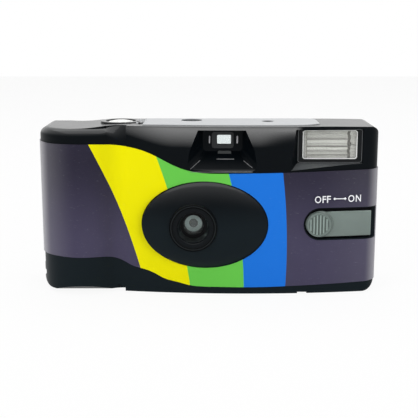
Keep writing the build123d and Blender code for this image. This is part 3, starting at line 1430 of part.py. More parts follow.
PIECES = {
    "front_cover": front_cover,
    "rear_cover": rear_cover,
    "wrap_label": wrap_label,
    "top_label": top_label,
    "button_collar": button_collar,
    "shutter_button": shutter_button,
    "button_spring": button_spring,
    "thumb_wheel": thumb_wheel,
    "cartridge_spool": cartridge_spool,
    "film_cartridge": film_cartridge,
    "film_strip": film_strip,
    "film_roll": film_roll,
    "supply_spool": supply_spool,
    "sprocket_wheel": sprocket_wheel,
    "counter_disc": counter_disc,
    "chassis": chassis,
    "lens_ring": lens_ring,
    "lens_holder": lens_holder,
    "taking_lens": taking_lens,
    "lens_retainer": lens_retainer,
    "aperture_plate": aperture_plate,
    "shutter_blade": shutter_blade,
    "shutter_pin": shutter_pin,
    "shutter_spring": shutter_spring,
    "striker_lever": striker_lever,
    "striker_pin": striker_pin,
    "striker_spring": striker_spring,
    "release_lever": release_lever,
    "release_pin": release_pin,
    "anti_reverse_pawl": anti_reverse_pawl,
    "pawl_pin": pawl_pin,
    "aa_battery": battery,
    "battery_contact_plus": battery_contact_plus,
    "battery_contact_minus": battery_contact_minus,
    "flash_bezel": flash_bezel,
    "flash_window": flash_window,
    "flash_reflector": flash_reflector,
    "flash_tube": flash_tube,
    "circuit_board": circuit_board,
    "flash_transformer": flash_transformer,
    "trigger_coil": trigger_coil,
    "flash_capacitor": flash_capacitor,
    "flash_slider": flash_slider,
    "slider_contact": slider_contact,
    "sync_contact": sync_contact,
    "ready_lamp": ready_lamp,
    "counter_window": counter_window,
    "viewfinder_front_lens": finder_front_lens,
    "viewfinder_rear_lens": finder_rear_lens,
    "viewfinder_tunnel": finder_tunnel,
    "film_door": film_door,
    "battery_door": battery_door,
}


for name, build in PIECES.items():
    export_step(to_frame * build(), f"parts/{name}.step")
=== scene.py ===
"""The looks of a single-use film camera with flash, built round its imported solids.

Sizes are metres in the frame's own axes: the camera faces -Y, X runs to the right as it is
seen from the front, and it stands on z = 0. Each operator dresses one group of pieces, and
main() calls them in order.
"""

import json
import math

import bmesh
import bpy
from bpy.props import (
    FloatProperty,
    FloatVectorProperty,
    IntProperty,
    PointerProperty,
)
from mathutils import Matrix, Vector

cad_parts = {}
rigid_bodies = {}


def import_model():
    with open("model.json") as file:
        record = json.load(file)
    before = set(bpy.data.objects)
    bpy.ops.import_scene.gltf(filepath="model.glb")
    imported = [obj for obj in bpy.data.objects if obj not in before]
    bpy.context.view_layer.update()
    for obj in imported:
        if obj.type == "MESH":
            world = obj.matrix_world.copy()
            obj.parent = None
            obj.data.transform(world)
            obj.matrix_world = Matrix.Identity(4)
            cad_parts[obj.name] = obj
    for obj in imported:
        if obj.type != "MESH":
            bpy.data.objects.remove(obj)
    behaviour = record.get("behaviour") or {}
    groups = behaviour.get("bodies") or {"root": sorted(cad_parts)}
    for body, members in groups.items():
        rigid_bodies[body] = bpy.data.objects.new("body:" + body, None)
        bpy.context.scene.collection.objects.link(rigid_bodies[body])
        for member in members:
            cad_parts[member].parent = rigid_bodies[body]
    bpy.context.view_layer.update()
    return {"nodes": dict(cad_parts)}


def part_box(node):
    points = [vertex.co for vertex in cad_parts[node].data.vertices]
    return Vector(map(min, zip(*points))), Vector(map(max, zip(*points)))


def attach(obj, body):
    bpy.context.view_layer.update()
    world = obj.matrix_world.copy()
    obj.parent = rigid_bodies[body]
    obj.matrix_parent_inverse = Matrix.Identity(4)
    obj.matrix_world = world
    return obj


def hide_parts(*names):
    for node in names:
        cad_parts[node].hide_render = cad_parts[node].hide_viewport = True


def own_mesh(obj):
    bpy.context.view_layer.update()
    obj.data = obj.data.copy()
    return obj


bl_info = {
    "name": "Film Camera Looks",
    "version": (1, 0, 0),
    "blender": (4, 5, 0),
    "location": "3D View > Sidebar > Film Camera",
    "description": "Prints, mouldings, glass and finishes of a single-use film camera",
    "category": "Object",
}

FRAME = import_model()
NODES = FRAME["nodes"]
MM = 0.001
TAU = 2 * math.pi
WHITE = (1.0, 1.0, 1.0)
PHOTO_PIXELS = 418


def centre(node):
    low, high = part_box(node)
    return (low + high) / 2


def mm(x, y, z):
    """A point given in millimetres."""
    return Vector((x, y, z)) * MM


# Where the main pieces stand, read from the frame
LENS = centre("lens_ring")
COUNTER = centre("counter_disc")
BEZEL_LOW, BEZEL_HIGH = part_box("flash_bezel")
PANE_LOW, PANE_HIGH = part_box("flash_window")
KNOB_LOW, KNOB_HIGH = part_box("flash_slider")
FINDER_LOW, FINDER_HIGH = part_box("viewfinder_front_lens")

# The wrap's bowed front, as a circle seen from above
BOW_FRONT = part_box("wrap_label")[0].y
BOW_APEX = 14.0 * MM
BOW_RADIUS = 270.3 * MM


# Settings


def colour(name, description, value):
    return FloatVectorProperty(name=name, description=description, default=value,
                               subtype="COLOR", size=3, min=0.0, max=1.0)


def number(name, description, value, **more):
    return FloatProperty(name=name, description=description, default=value, **more)


def length(name, description, value):
    return number(name, description, value, unit="LENGTH", subtype="DISTANCE", precision=5)


class ShellSettings(bpy.types.PropertyGroup):
    black: colour("Shell Black", "Colour of the moulded shell", (0.0018, 0.0030, 0.0042))
    # Painted light: the shell's lower half is painted lighter than the rest of the same
    # moulding.
    lit_low_black: colour("Lit Low Black", "Colour of the shell's lower half", (0.0064, 0.0108, 0.0138))
    # Painted highlight: a pale grey laid on the upward faces of the lip under the flash.
    lip_highlight: colour("Lip Highlight", "Colour of the lip under the flash", (0.085, 0.092, 0.096))
    grain: length("Grain Size", "Width of the moulded surface's grain", 0.16 * MM)
    chamber: colour("Chamber Black", "Matt black inside the camera", (0.012, 0.012, 0.013))


class PrintSettings(bpy.types.PropertyGroup):
    ground: colour("Ground", "Purple grey ground of the wrap", (0.054, 0.048, 0.086))
    # Painted sheen and wear: the pale ground laid where the wrap turns round the sides, and
    # faintly on rubbed marks.
    sheen_and_worn_ground: colour("Sheen And Worn Ground", "Ground where the wrap turns", (0.460, 0.455, 0.480))
    first: colour("First Stripe", "Yellow stripe", (0.820, 0.760, 0.0))
    second: colour("Second Stripe", "Green stripe", (0.132, 0.545, 0.072))
    third: colour("Third Stripe", "Blue stripe", (0.012, 0.166, 0.670))
    ink: colour("Lettering Ink", "White of the switch's words", (0.86, 0.87, 0.90))
    word_height: length("Word Height", "Height of the capitals", 2.45 * MM)


class LensSettings(bpy.types.PropertyGroup):
    outer: length("Ring Radius", "Radius of the lens surround", 8.35 * MM)
    groove_outer: length("Outer Groove", "Radius of the outer fine ring", 8.05 * MM)
    groove_inner: length("Inner Groove", "Radius of the inner fine ring", 7.35 * MM)
    well: length("Well Radius", "Radius where the conical well starts", 5.55 * MM)
    throat: length("Throat Radius", "Radius at the well's bottom", 4.6 * MM)
    glass: colour("Coated Glass", "Tint of the taking lens", (0.90, 0.95, 0.94))


class FlashSettings(bpy.types.PropertyGroup):
    rib_count: IntProperty(name="Ribs", description="Ribs on the pane", default=9, min=2)
    silver: colour("Reflector", "Tone of the bright reflector", (0.89, 0.905, 0.96))
    pane: colour("Pane", "Tone of the clear pane", (0.93, 0.93, 0.90))


class SwitchSettings(bpy.types.PropertyGroup):
    grey: colour("Slider Grey", "Sage grey of the slider", (0.160, 0.200, 0.184))
    ridge_count: IntProperty(name="Ridges", description="Ridges on the knob", default=6, min=2)
    ridge_radius: length("Ridge Circle", "Radius of the ridged face", 3.55 * MM)
    ridge_pitch: length("Ridge Pitch", "From one ridge to the next", 1.16 * MM)
    ridge_width: length("Ridge Width", "Width and rise of a ridge", 0.56 * MM)


class TopSettings(bpy.types.PropertyGroup):
    silver: colour("Silver Skin", "Silver grey of the top skin", (0.535, 0.55, 0.565))
    button: colour("Button", "White of the shutter button", (0.93, 0.94, 0.91))


class StageSettings(bpy.types.PropertyGroup):
    distance: length("Camera Distance", "From the lens to the camera's target", 0.3308)
    elevation: number("Elevation", "Camera's height as an angle", math.radians(12),
                      subtype="ANGLE")
    turn: number("Turn", "Camera's turn round the object", 0.0, subtype="ANGLE")
    target_height: length("Target Height", "Height of the point looked at", 27.7 * MM)
    target_shift: length("Target Shift", "Sideways shift of the point looked at", 0.3 * MM)
    focal_pixels: number("Focal Length", "Focal length in pixels", 900.7)
    floor: colour("Floor", "Colour of the pale floor", (0.90, 0.90, 0.90))
    whiteness: number("Floor Whiteness", "How far the floor is lifted to white for the camera",
                      0.92, min=0.0, max=1.0)
    ambient: number("Ambient", "Strength of the even light all round", 0.20, min=0.0)


# Node trees and materials


def maths(operation, turned=False):
    """A method that puts a wire and other terms through one maths node."""
    def method(self, *others):
        terms = (*others, self) if turned else (self, *others)
        return self.graph.out("ShaderNodeMath", {"operation": operation},
                              dict(enumerate(terms)))
    return method


class Wire:
    """A node's output that can stand in a sum, on either side of the sign."""

    def __init__(self, graph, socket):
        self.graph = graph
        self.socket = socket

    __add__ = __radd__ = maths("ADD")
    __sub__ = maths("SUBTRACT")
    __rsub__ = maths("SUBTRACT", turned=True)
    __mul__ = __rmul__ = maths("MULTIPLY")
    __truediv__ = maths("DIVIDE")
    __rtruediv__ = maths("DIVIDE", turned=True)
    __pow__ = maths("POWER")
    __rpow__ = maths("POWER", turned=True)
    __lt__ = maths("LESS_THAN")
    __gt__ = maths("GREATER_THAN")
    __abs__ = maths("ABSOLUTE")
    root = maths("SQRT")

    def clamp(self):
        return self.graph.out("ShaderNodeClamp", {}, {0: self})

    def ramp(self, low, high):
        """0 below low, 1 above high, smooth between."""
        return self.graph.out("ShaderNodeMapRange", {"interpolation_type": "SMOOTHSTEP"},
                              {0: self, 1: low, 2: high, 3: 0.0, 4: 1.0})

    def ramp_mm(self, low, high):
        """A ramp between two marks given in millimetres."""
        return self.ramp(low * MM, high * MM)

    def near(self, place, low, high):
        """1 within low millimetres of a place, 0 beyond high millimetres."""
        return 1 - abs(self - place).ramp_mm(low, high)

    def between(self, start, full, fading, end):
        """0 before start and after end, 1 from full to fading, in millimetres."""
        return self.ramp_mm(start, full) * (1 - self.ramp_mm(fading, end))


class Graph:
    """A node tree, and one way to add any node to it."""

    def __init__(self, tree):
        self.tree = tree

    def node(self, kind, settings, inputs):
        made = self.tree.nodes.new(kind)
        for key, value in settings.items():
            setattr(made, key, value)
        for key, value in inputs.items():
            self.feed(made.inputs[key], value)
        return made

    def feed(self, socket, value):
        if isinstance(value, Wire):
            self.tree.links.new(value.socket, socket)
        elif socket.type == "RGBA":
            socket.default_value = (*value[:3], 1.0)
        else:
            socket.default_value = value

    def out(self, kind, settings, inputs, index=0):
        return Wire(self, self.node(kind, settings, inputs).outputs[index])

    def background_rays(self):
        """1 for rays that show the background: from the camera, by gloss or through glass."""
        path = self.node("ShaderNodeLightPath", {}, {})
        seen = [Wire(self, path.outputs[kind])
                for kind in ("Is Camera Ray", "Is Glossy Ray", "Is Transmission Ray")]
        return (seen[0] + seen[1] + seen[2]).clamp()


class Paint(Graph):
    """One material and the nodes that make it."""

    def __init__(self, name, **constants):
        self.material = bpy.data.materials.new(name)
        self.material.use_nodes = True
        super().__init__(self.material.node_tree)
        self.tree.nodes.clear()
        self.shader = self.node("ShaderNodeBsdfPrincipled", {}, {})
        self.end = self.node("ShaderNodeOutputMaterial", {}, {0: self.result()})
        self.point = self.out("ShaderNodeTexCoord", {}, {}, 3)
        self.set(**constants)

    def result(self):
        return Wire(self, self.shader.outputs[0])

    def set(self, **sockets):
        for key, value in sockets.items():
            self.feed(self.shader.inputs[key.replace("_", " ")], value)

    def cover(self, share, shader):
        """Lays another shader over the painted one by a share."""
        mixed = self.out("ShaderNodeMixShader", {}, {0: share, 1: self.result(), 2: shader})
        self.feed(self.end.inputs[0], mixed)

    def axes(self):
        """The surface point's own X, Y and Z."""
        parts = self.node("ShaderNodeSeparateXYZ", {}, {0: self.point})
        return [Wire(self, parts.outputs[k]) for k in range(3)]

    def upward(self):
        """How far the surface faces up, from -1 to 1."""
        normal = self.out("ShaderNodeTexCoord", {}, {}, 1)
        return self.out("ShaderNodeSeparateXYZ", {}, {0: normal}, 2)

    def noise(self, size, detail=2.0, rough=0.5, stretch=None):
        """Cloudy values from 0 to 1 whose lumps are about size metres wide."""
        point = self.point
        if stretch:
            point = self.out("ShaderNodeMapping", {"vector_type": "POINT"},
                             {0: point, 3: stretch})
        return self.out("ShaderNodeTexNoise", {},
                        {"Vector": point, "Scale": 1 / size, "Detail": detail,
                         "Roughness": rough})

    def mix(self, share, first, second):
        return self.out("ShaderNodeMix", {"data_type": "RGBA"},
                        {0: share, 6: first, 7: second}, 2)

    def bump(self, height, strength, distance):
        return self.out("ShaderNodeBump", {},
                        {"Height": height, "Strength": strength, "Distance": distance})


def times(tint, factor):
    """A colour made lighter or darker."""
    return [part * factor for part in tint]


# How deep the finishes' fine relief is
RELIEF = 0.02 * MM


def moulding(paint, grain):
    """The flow clouds, fine grain and rubbed marks that all mouldings have."""
    return (paint.noise(14 * MM, 3.0), paint.noise(grain, 2.0),
            paint.noise(2.2 * MM, 4.0, 0.65, stretch=(1, 1, 4)))


def moulded(name, tint, rough=0.36, grain=0.16 * MM, relief=0.35, specular=0.5, scuffs=0.5,
            polish=0.0):
    """Moulded plastic: fine grain, faint flow clouds, scuffs, top faces polished by hands."""
    paint = Paint(name)
    if polish:
        paint.set(Coat_Weight=paint.upward().ramp(0.20, 0.60) * polish, Coat_Roughness=0.16)
    clouds, fine, rub = moulding(paint, grain)
    worn = rub.ramp(0.60, 0.78) * scuffs
    dust = paint.noise(0.5 * MM, 1.0).ramp(0.74, 0.80) * 0.25 * scuffs
    pale = [min(1, 1.7 * c + 0.012) for c in tint]
    base = paint.mix(clouds, times(tint, 0.85), times(tint, 1.15))
    base = paint.mix((worn * 0.5 + dust).clamp(), base, pale)
    paint.set(Base_Color=base, Roughness=(rough + (clouds - 0.5) * 0.10 + worn * 0.12).clamp(),
              Specular_IOR_Level=specular,
              Normal=paint.bump(fine + rub * 0.3, relief, RELIEF))
    return paint.material


def metal(name, tint, rough=0.28, along=(1, 1, 1)):
    """Worked metal with fine drawn lines and stains."""
    paint = Paint(name, Metallic=1.0)
    lines = paint.noise(0.25 * MM, 3.0, stretch=along)
    stains = paint.noise(3 * MM, 3.0)
    paint.set(Base_Color=paint.mix(stains, times(tint, 0.82), tint),
              Roughness=(rough + (lines - 0.5) * 0.18 + (stains - 0.5) * 0.1).clamp(),
              Normal=paint.bump(lines, 0.25, RELIEF / 2))
    return paint.material


def rippled(paint, tint, shade, rough):
    """The faint ripples of clear plastic, given to a paint."""
    ripple = paint.noise(2.5 * MM, 2.0)
    paint.set(Base_Color=paint.mix(ripple, times(tint, shade), tint),
              Roughness=(rough + ripple * 0.03).clamp(),
              Normal=paint.bump(ripple, 0.08, RELIEF))


def clear(name, tint, rough=0.03):
    """Clear plastic or glass with faint ripples."""
    paint = Paint(name, Transmission_Weight=1.0, IOR=1.49)
    rippled(paint, tint, 0.97, rough)
    return paint.material


def thin_clear(name, tint, share=0.12):
    """A thin clear pane: mostly let through, with a share of gloss."""
    paint = Paint(name, IOR=1.49, Coat_Weight=0.5)
    rippled(paint, tint, 0.95, 0.05)
    paint.cover(1 - share, paint.out("ShaderNodeBsdfTransparent", {}, {0: tint}))
    return paint.material


def dress(node, material):
    """Gives a CAD node's own material slots a finished material."""
    mesh = NODES[node].data
    if mesh.materials:
        for k in range(len(mesh.materials)):
            mesh.materials[k] = material
    else:
        mesh.materials.append(material)


def dress_all(finishes):
    """Finishes many CAD nodes, named in a tuple for each material."""
    for material, nodes in finishes.items():
        for node in nodes:
            dress(node, material)


# Meshes


def new_object(name, data):
    """An object in the scene."""
    made = bpy.data.objects.new(name, data)
    bpy.context.scene.collection.objects.link(made)
    return made


def new_mesh(name, shape):
    """A bmesh as a mesh."""
    mesh = bpy.data.meshes.new(name)
    shape.to_mesh(mesh)
    shape.free()
    return mesh


def baked(holder):
    """The plain mesh that a text or a node tree comes to; modifier and object go."""
    graph = bpy.context.evaluated_depsgraph_get()
    mesh = bpy.data.meshes.new_from_object(holder.evaluated_get(graph))
    holder.modifiers.clear()
    bpy.data.objects.remove(holder)
    return mesh


def add_piece(name, shape, body, slot, material, smooth=True, replaces=(),
              sharp=math.radians(35)):
    """A finished shape as a named piece that rides on a body."""
    mesh = finish_mesh(shape, name, sharp) if isinstance(shape, bmesh.types.BMesh) else shape
    made = new_object(name, mesh)
    mesh.materials.clear()
    mesh.materials.append(material)
    for face in mesh.polygons:
        face.use_smooth = smooth
    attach(made, body)
    if replaces:
        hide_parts(*replaces)
    return made


def finish_mesh(shape, name, sharp):
    """Turns a bmesh into a mesh with outward faces and crisp edges."""
    bmesh.ops.remove_doubles(shape, verts=shape.verts, dist=1e-7)
    bmesh.ops.recalc_face_normals(shape, faces=shape.faces)
    for edge in shape.edges:
        if len(edge.link_faces) == 2 and edge.calc_face_angle(0) > sharp:
            edge.smooth = False
    return new_mesh(name, shape)


def move(shape, matrix):
    bmesh.ops.transform(shape, matrix=matrix, verts=shape.verts)


def join_rows(shape, rows, around=True):
    """Joins rows of points in turn. They go around, or both ends are closed."""
    rows = [[shape.verts.new(point) for point in row] for row in rows]
    if not around:
        shape.faces.new(rows[0])
        shape.faces.new(list(reversed(rows[-1])))
    after = rows[1:] + rows[:1] if around else rows[1:]
    for first, second in zip(rows, after):
        for k in range(len(first)):
            i = (k + 1) % len(first)
            shape.faces.new((first[k], first[i], second[i], second[k]))


def lathe(profile, foot, steps):
    """Turns a closed profile of (radius, distance to the front) round an axis along Y."""
    forwards = Vector((0, 0, 1)).rotation_difference(Vector((0, -1, 0)))
    place = Matrix.Translation(foot) @ forwards.to_matrix().to_4x4()
    angles = [TAU * k / steps for k in range(steps)]
    shape = bmesh.new()
    join_rows(shape, [[place @ Vector((r * math.cos(a), r * math.sin(a), h))
                       for r, h in profile] for a in angles])
    return shape


def rounded(shape, width):
    """Bevels the sharp edges of a bmesh."""
    sharp = math.radians(30)
    edges = [e for e in shape.edges if len(e.link_faces) == 2 and e.calc_face_angle(0) > sharp]
    bmesh.ops.bevel(shape, geom=edges, offset=width, segments=2, profile=0.6,
                    affect="EDGES", clamp_overlap=True)


def outline_solid(points, front_y, back_y, shape=None):
    """A front-view outline of (x, z) points made solid between two depths."""
    shape = shape or bmesh.new()
    join_rows(shape, [[(x, depth, z) for x, z in points] for depth in (front_y, back_y)],
              around=False)
    return shape


def round_rect(x0, x1, z0, z1, radius, steps=6):
    """The outline of a rectangle with round corners."""
    points = []
    corners = ((x1 - radius, z1 - radius, 0), (x0 + radius, z1 - radius, 1),
               (x0 + radius, z0 + radius, 2), (x1 - radius, z0 + radius, 3))
    for cx, cz, quarter in corners:
        for k in range(steps + 1):
            angle = (quarter + k / steps) * math.pi / 2
            points.append((cx + radius * math.cos(angle), cz + radius * math.sin(angle)))
    return points


def inset(low, high, left, right, below, above, radius):
    """A box's front drawn in by millimetres, as round_rect takes it."""
    return (low.x + left * MM, high.x - right * MM, low.z + below * MM, high.z - above * MM,
            radius * MM)


def ring_solid(low, high, rings, steps=5):
    """A frame whose skin runs through rings: each is an inset and its depth behind the box's
    front, in millimetres."""
    shape = bmesh.new()
    join_rows(shape, [[(x, low.y + depth * MM, z)
                       for x, z in round_rect(*inset(low, high, *sides), steps)]
                      for *sides, depth in rings])
    return shape


def thin_frame(low, high, outer, inner, front, back):
    """A flat frame between two insets of a box's front and between two depths."""
    return ring_solid(low, high, ((*outer, back), (*outer, front), (*inner, front),
                                  (*inner, back)))


def rod(shape, start, end, radius):
    """Adds a round rod between two points."""
    turn = (end - start).to_track_quat("Z", "Y").to_matrix().to_4x4()
    bmesh.ops.create_cone(shape, cap_ends=True, segments=12, radius1=radius, radius2=radius,
                          depth=(end - start).length,
                          matrix=Matrix.Translation((start + end) / 2) @ turn)


def flat_text(words, **settings):
    """Words as a flat mesh, taken from a text curve."""
    text = bpy.data.curves.new("words", "FONT")
    text.body = words
    for key, value in settings.items():
        setattr(text, key, value)
    return baked(new_object("words", text))


def add_flat(shape, mesh, points):
    """Adds a flat mesh's faces over new places for its points."""
    made = [shape.verts.new(point) for point in points]
    for face in mesh.polygons:
        corners = [made[k] for k in face.vertices]
        if shape.faces.get(corners) is None:
            shape.faces.new(corners)


# Geometry nodes


class Grower(Graph):
    """A geometry node tree with named inputs, run once to give a plain mesh."""

    KINDS = {float: "NodeSocketFloat", int: "NodeSocketInt",
             bpy.types.Material: "NodeSocketMaterial"}

    def __init__(self, name, inputs):
        super().__init__(bpy.data.node_groups.new(name, "GeometryNodeTree"))
        self.ids = {}
        for label, kind in inputs.items():
            made = self.tree.interface.new_socket(label, in_out="INPUT",
                                                  socket_type=self.KINDS[kind])
            self.ids[label] = made.identifier
        self.tree.interface.new_socket("Geometry", in_out="OUTPUT",
                                       socket_type="NodeSocketGeometry")
        self.source = self.node("NodeGroupInput", {}, {})
        self.end = self.node("NodeGroupOutput", {}, {})

    def input(self, label):
        return Wire(self, self.source.outputs[label])

    def line(self, axis, gap, count):
        """Points along an axis, a gap apart and centred on the origin."""
        offset = self.out("ShaderNodeCombineXYZ", {}, {axis: gap})
        start = self.out("ShaderNodeCombineXYZ", {}, {axis: gap * (count - 1) * -0.5})
        return self.out("GeometryNodeMeshLine", {}, {"Count": count, "Start Location": start,
                                                     "Offset": offset})

    def lay_bars(self, line, bar, lay):
        """Lays a round bar on every point, in the finish that the tree is given."""
        round_bar = self.out("GeometryNodeMeshCylinder", {}, bar)
        placed = self.out("GeometryNodeInstanceOnPoints", {},
                          {"Points": line, "Instance": round_bar, **lay})
        real = self.out("GeometryNodeRealizeInstances", {}, {0: placed})
        done = self.out("GeometryNodeSetMaterial", {}, {
            "Geometry": real, "Material": self.input("Finish")})
        self.feed(self.end.inputs[0], done)

    def grow(self, name, values):
        """Runs the tree once and returns the result as a bmesh."""
        holder = new_object(name, bpy.data.meshes.new(name + "_seed"))
        modifier = holder.modifiers.new("grow", "NODES")
        modifier.node_group = self.tree
        for label, value in values.items():
            modifier[self.ids[label]] = value
        shape = bmesh.new()
        shape.from_mesh(baked(holder))
        return shape


def ridge_tree():
    """Parallel round-backed bars, each as long as the circle is wide at its place."""
    tree = Grower("chord_ridges", {"Radius": float, "Count": int, "Pitch": float, "Width": float,
                                   "Rise": float, "Finish": bpy.types.Material})
    radius, count, width = tree.input("Radius"), tree.input("Count"), tree.input("Width")
    line = tree.line(0, tree.input("Pitch"), count)
    point = tree.out("GeometryNodeInputPosition", {}, {})
    across = tree.out("ShaderNodeSeparateXYZ", {}, {0: point}, 0)
    chord = (radius * radius - across * across).root()
    size = tree.out("ShaderNodeCombineXYZ", {}, {0: width, 1: tree.input("Rise"), 2: chord * 2})
    bar = {"Vertices": 16, "Side Segments": 6, "Radius": 0.5, "Depth": 1.0}
    tree.lay_bars(line, bar, {"Scale": size})
    return tree


def bar_tree():
    """Bars along X, stacked up Z, as ribs on a pane."""
    tree = Grower("stacked_ribs", {"Width": float, "Height": float, "Count": int,
                                   "Radius": float, "Finish": bpy.types.Material})
    count = tree.input("Count")
    line = tree.line(2, tree.input("Height") / count, count)
    bar = {"Vertices": 24, "Radius": tree.input("Radius"), "Depth": tree.input("Width")}
    tree.lay_bars(line, bar, {"Rotation": (0.0, math.pi / 2, 0.0)})
    return tree


# Shell and wrap

# The rolled edge: how far behind the wrap the front band lies, where its shine starts, how
# much higher it starts at the left, how far up it grows, and where the bend starts
BAND_BEHIND = 1.75 * MM
ROLL_FOOT = 52.4 * MM
ROLL_FOOT_LEFT = 5.6 * MM
ROLL_HEIGHT = 6.1 * MM
ROLL_START = 52 * MM


def front_depth(x):
    """Y of the wrap's bowed front at an X in the middle of the camera."""
    return BOW_FRONT + BOW_RADIUS - math.sqrt(BOW_RADIUS ** 2 - (x - BOW_APEX) ** 2)


def roll_share(paint, x, y, z, up):
    """How much of the rolled edge's shine shows at a point of the shell."""
    across = x - BOW_APEX
    band = across * across / (2 * BOW_RADIUS) + (BOW_FRONT + BAND_BEHIND)
    foot = (ROLL_FOOT + (paint.noise(20 * MM, 1.0) - 0.5) * 1.0 * MM
            + (1 - x.ramp_mm(-38, -12)) * ROLL_FOOT_LEFT)
    outer = (y - band) < 0
    fade = ((z - foot) / ROLL_HEIGHT).clamp() ** (x.ramp_mm(17, 33) * 3.5 + 1.1)
    below_brim = 0.84 - z.ramp_mm(59.1, 59.5) * 0.35
    return outer * fade * (1 - up.ramp(0.3, 0.5)) * below_brim * x.between(-36, -27, 30, 33)


def shell_paint(shell):
    """Satin black, polished by hands on top, its upper front band shaded as a rolled edge, with
    painted light on the lower half and a painted highlight on the lip under the flash.
    """
    paint = Paint("satin_black_shell", Specular_IOR_Level=0.06, Coat_Roughness=0.16)
    x, y, z = paint.axes()
    up = paint.upward()
    clouds, fine, rub = moulding(paint, shell.grain)
    worn = rub.ramp(0.62, 0.80) * 0.3
    base = paint.mix(clouds, times(shell.black, 0.8), times(shell.black, 1.2))
    base = paint.mix(worn, base, [2.2 * c + 0.008 for c in shell.black])
    # Painted highlight: the lip's upward faces under the flash are painted pale grey.
    lip_highlight = up.ramp(0.3, 0.6) * x.ramp_mm(26, 28) * z.between(44, 45, 48, 49)
    base = paint.mix(lip_highlight, base, shell.lip_highlight)
    # Painted light: the lower half is painted lighter, blending in between 22 and 36 mm.
    base = paint.mix(z.ramp_mm(22, 36), shell.lit_low_black, base)
    finder = x.near(5 * MM, 12, 13) * z.between(44, 45, 58, 58.6)
    paint.set(Base_Color=base, Roughness=0.34 + (clouds - 0.5) * 0.10 + worn * 0.12,
              Coat_Weight=up.ramp(0.20, 0.60) * (1 - finder) * 0.6,
              Normal=paint.bump(fine + rub * 0.3, 0.16, RELIEF))
    rise = z - ROLL_START
    bent = paint.bump(rise * (rise * -10.0 - 0.85), 1.0, 1.0)
    gloss = paint.out("ShaderNodeBsdfPrincipled", {}, {
        "Base Color": shell.black, "Roughness": 0.24, "IOR": 1.90, "Normal": bent})
    paint.cover(roll_share(paint, x, y, z, up), gloss)
    return paint.material


def dress_shell(shell):
    black = shell_paint(shell)
    door = moulded("satin_black_door", shell.black, 0.42, shell.grain, 0.40, 0.12, 0.4)
    inner = moulded("matt_black_frame", shell.chamber, 0.62, 0.3 * MM, 0.5, 0.10)
    dress_all({black: ("front_cover", "rear_cover"), door: ("film_door", "battery_door"),
               inner: ("chassis", "lens_holder", "viewfinder_tunnel")})


# The stripes' edges from left to right: x = a + b z + c z z, in millimetres
STRIPE_EDGES = ((-21.84, -0.2415, -0.002230), (-6.08, -0.1211, -0.002509),
                (12.70, 0.0021, -0.002959), (27.29, 0.0664, -0.002177))


def wrap_paint(prints):
    """The printed wrap: purple grey ground, three curved stripes, paper grain, rubbed marks, and
    a painted sheen where it turns round the sides.
    """
    paint = Paint("printed_wrap", Specular_IOR_Level=0.07)
    x, y, z = paint.axes()
    wander = (paint.noise(1.2 * MM, 2.0) - 0.5) * 0.06 * MM
    front = y < -2 * MM
    fibre = paint.noise(0.09 * MM, 3.0)
    mottle = paint.noise(9 * MM, 3.0)
    ground = paint.mix(mottle, times(prints.ground, 1.02), times(prints.ground, 1.22))
    ground = paint.mix(z.ramp_mm(15, 50), ground, times(prints.ground, 0.42))
    # Painted sheen: the ground goes pale towards both sides, more broadly on the left, where the
    # wrap turns.
    side_sheen = (abs(x).ramp_mm(55.8, 60.8) * 0.85 + (x * -1).ramp_mm(46, 64) * 0.33
            + x.ramp_mm(35, 64) * 0.08)
    rub = paint.noise(1.6 * MM, 4.0, 0.7, stretch=(1, 1, 3)).ramp(0.60, 0.80)
    ground = paint.mix((side_sheen * 0.75 + rub * 0.10).clamp(), ground, prints.sheen_and_worn_ground)
    tone = ground
    following = (prints.first, prints.second, prints.third, ground)
    for (a, b, c), after in zip(STRIPE_EDGES, following):
        line = z * (z * (c / MM) + b) + a * MM
        passed = (x + wander - line).ramp_mm(-0.05, 0.05)
        tone = paint.mix(passed * front, tone, after)
    tone = paint.mix(rub * 0.05, tone, (0.75, 0.75, 0.76))
    paint.set(Base_Color=tone, Roughness=(0.42 + (mottle - 0.5) * 0.1 + rub * 0.1).clamp(),
              Normal=paint.bump(fibre + mottle * 0.4, 0.12, RELIEF))
    return paint.material


# The switch's letters: letter, left and right edge, foot, in millimetres
LETTERS = (("O", 37.30, 39.50, 33.03), ("F", 39.95, 41.25, 33.08), ("F", 41.55, 42.90, 33.12),
           ("O", 49.10, 51.28, 33.22), ("N", 51.80, 53.65, 33.28))
INK_LIFT = 0.02 * MM
INK_DEPTH = 0.012 * MM


def inked(x, z):
    """A point of the ink that lies on the wrap's bowed front."""
    return x, front_depth(x) - INK_LIFT, z


def lay_letter(shape, letter, left, right, low, high):
    """Lays one letter on the bowed front, fitted between its four edges."""
    mesh = flat_text(letter, size=1.0, offset=0.012, resolution_u=6)
    across = [v.co.x for v in mesh.vertices]
    up = [v.co.y for v in mesh.vertices]
    wide, tall = max(across) - min(across), max(up) - min(up)
    add_flat(shape, mesh, [inked(left + (v.co.x - min(across)) * (right - left) / wide,
                                 low + (v.co.y - min(up)) * (high - low) / tall)
                           for v in mesh.vertices])


def arrow_points(left, right, middle, head=0.5 * MM, line=0.17 * MM):
    """A double-ended arrow as an outline of (x, z) points."""
    neck = 1.6 * head
    return [(left, middle), (left + head, middle + head), (left + neck, middle + line),
            (right - neck, middle + line), (right - head, middle + head),
            (right, middle), (right - head, middle - head),
            (right - neck, middle - line), (left + neck, middle - line),
            (left + head, middle - head)]


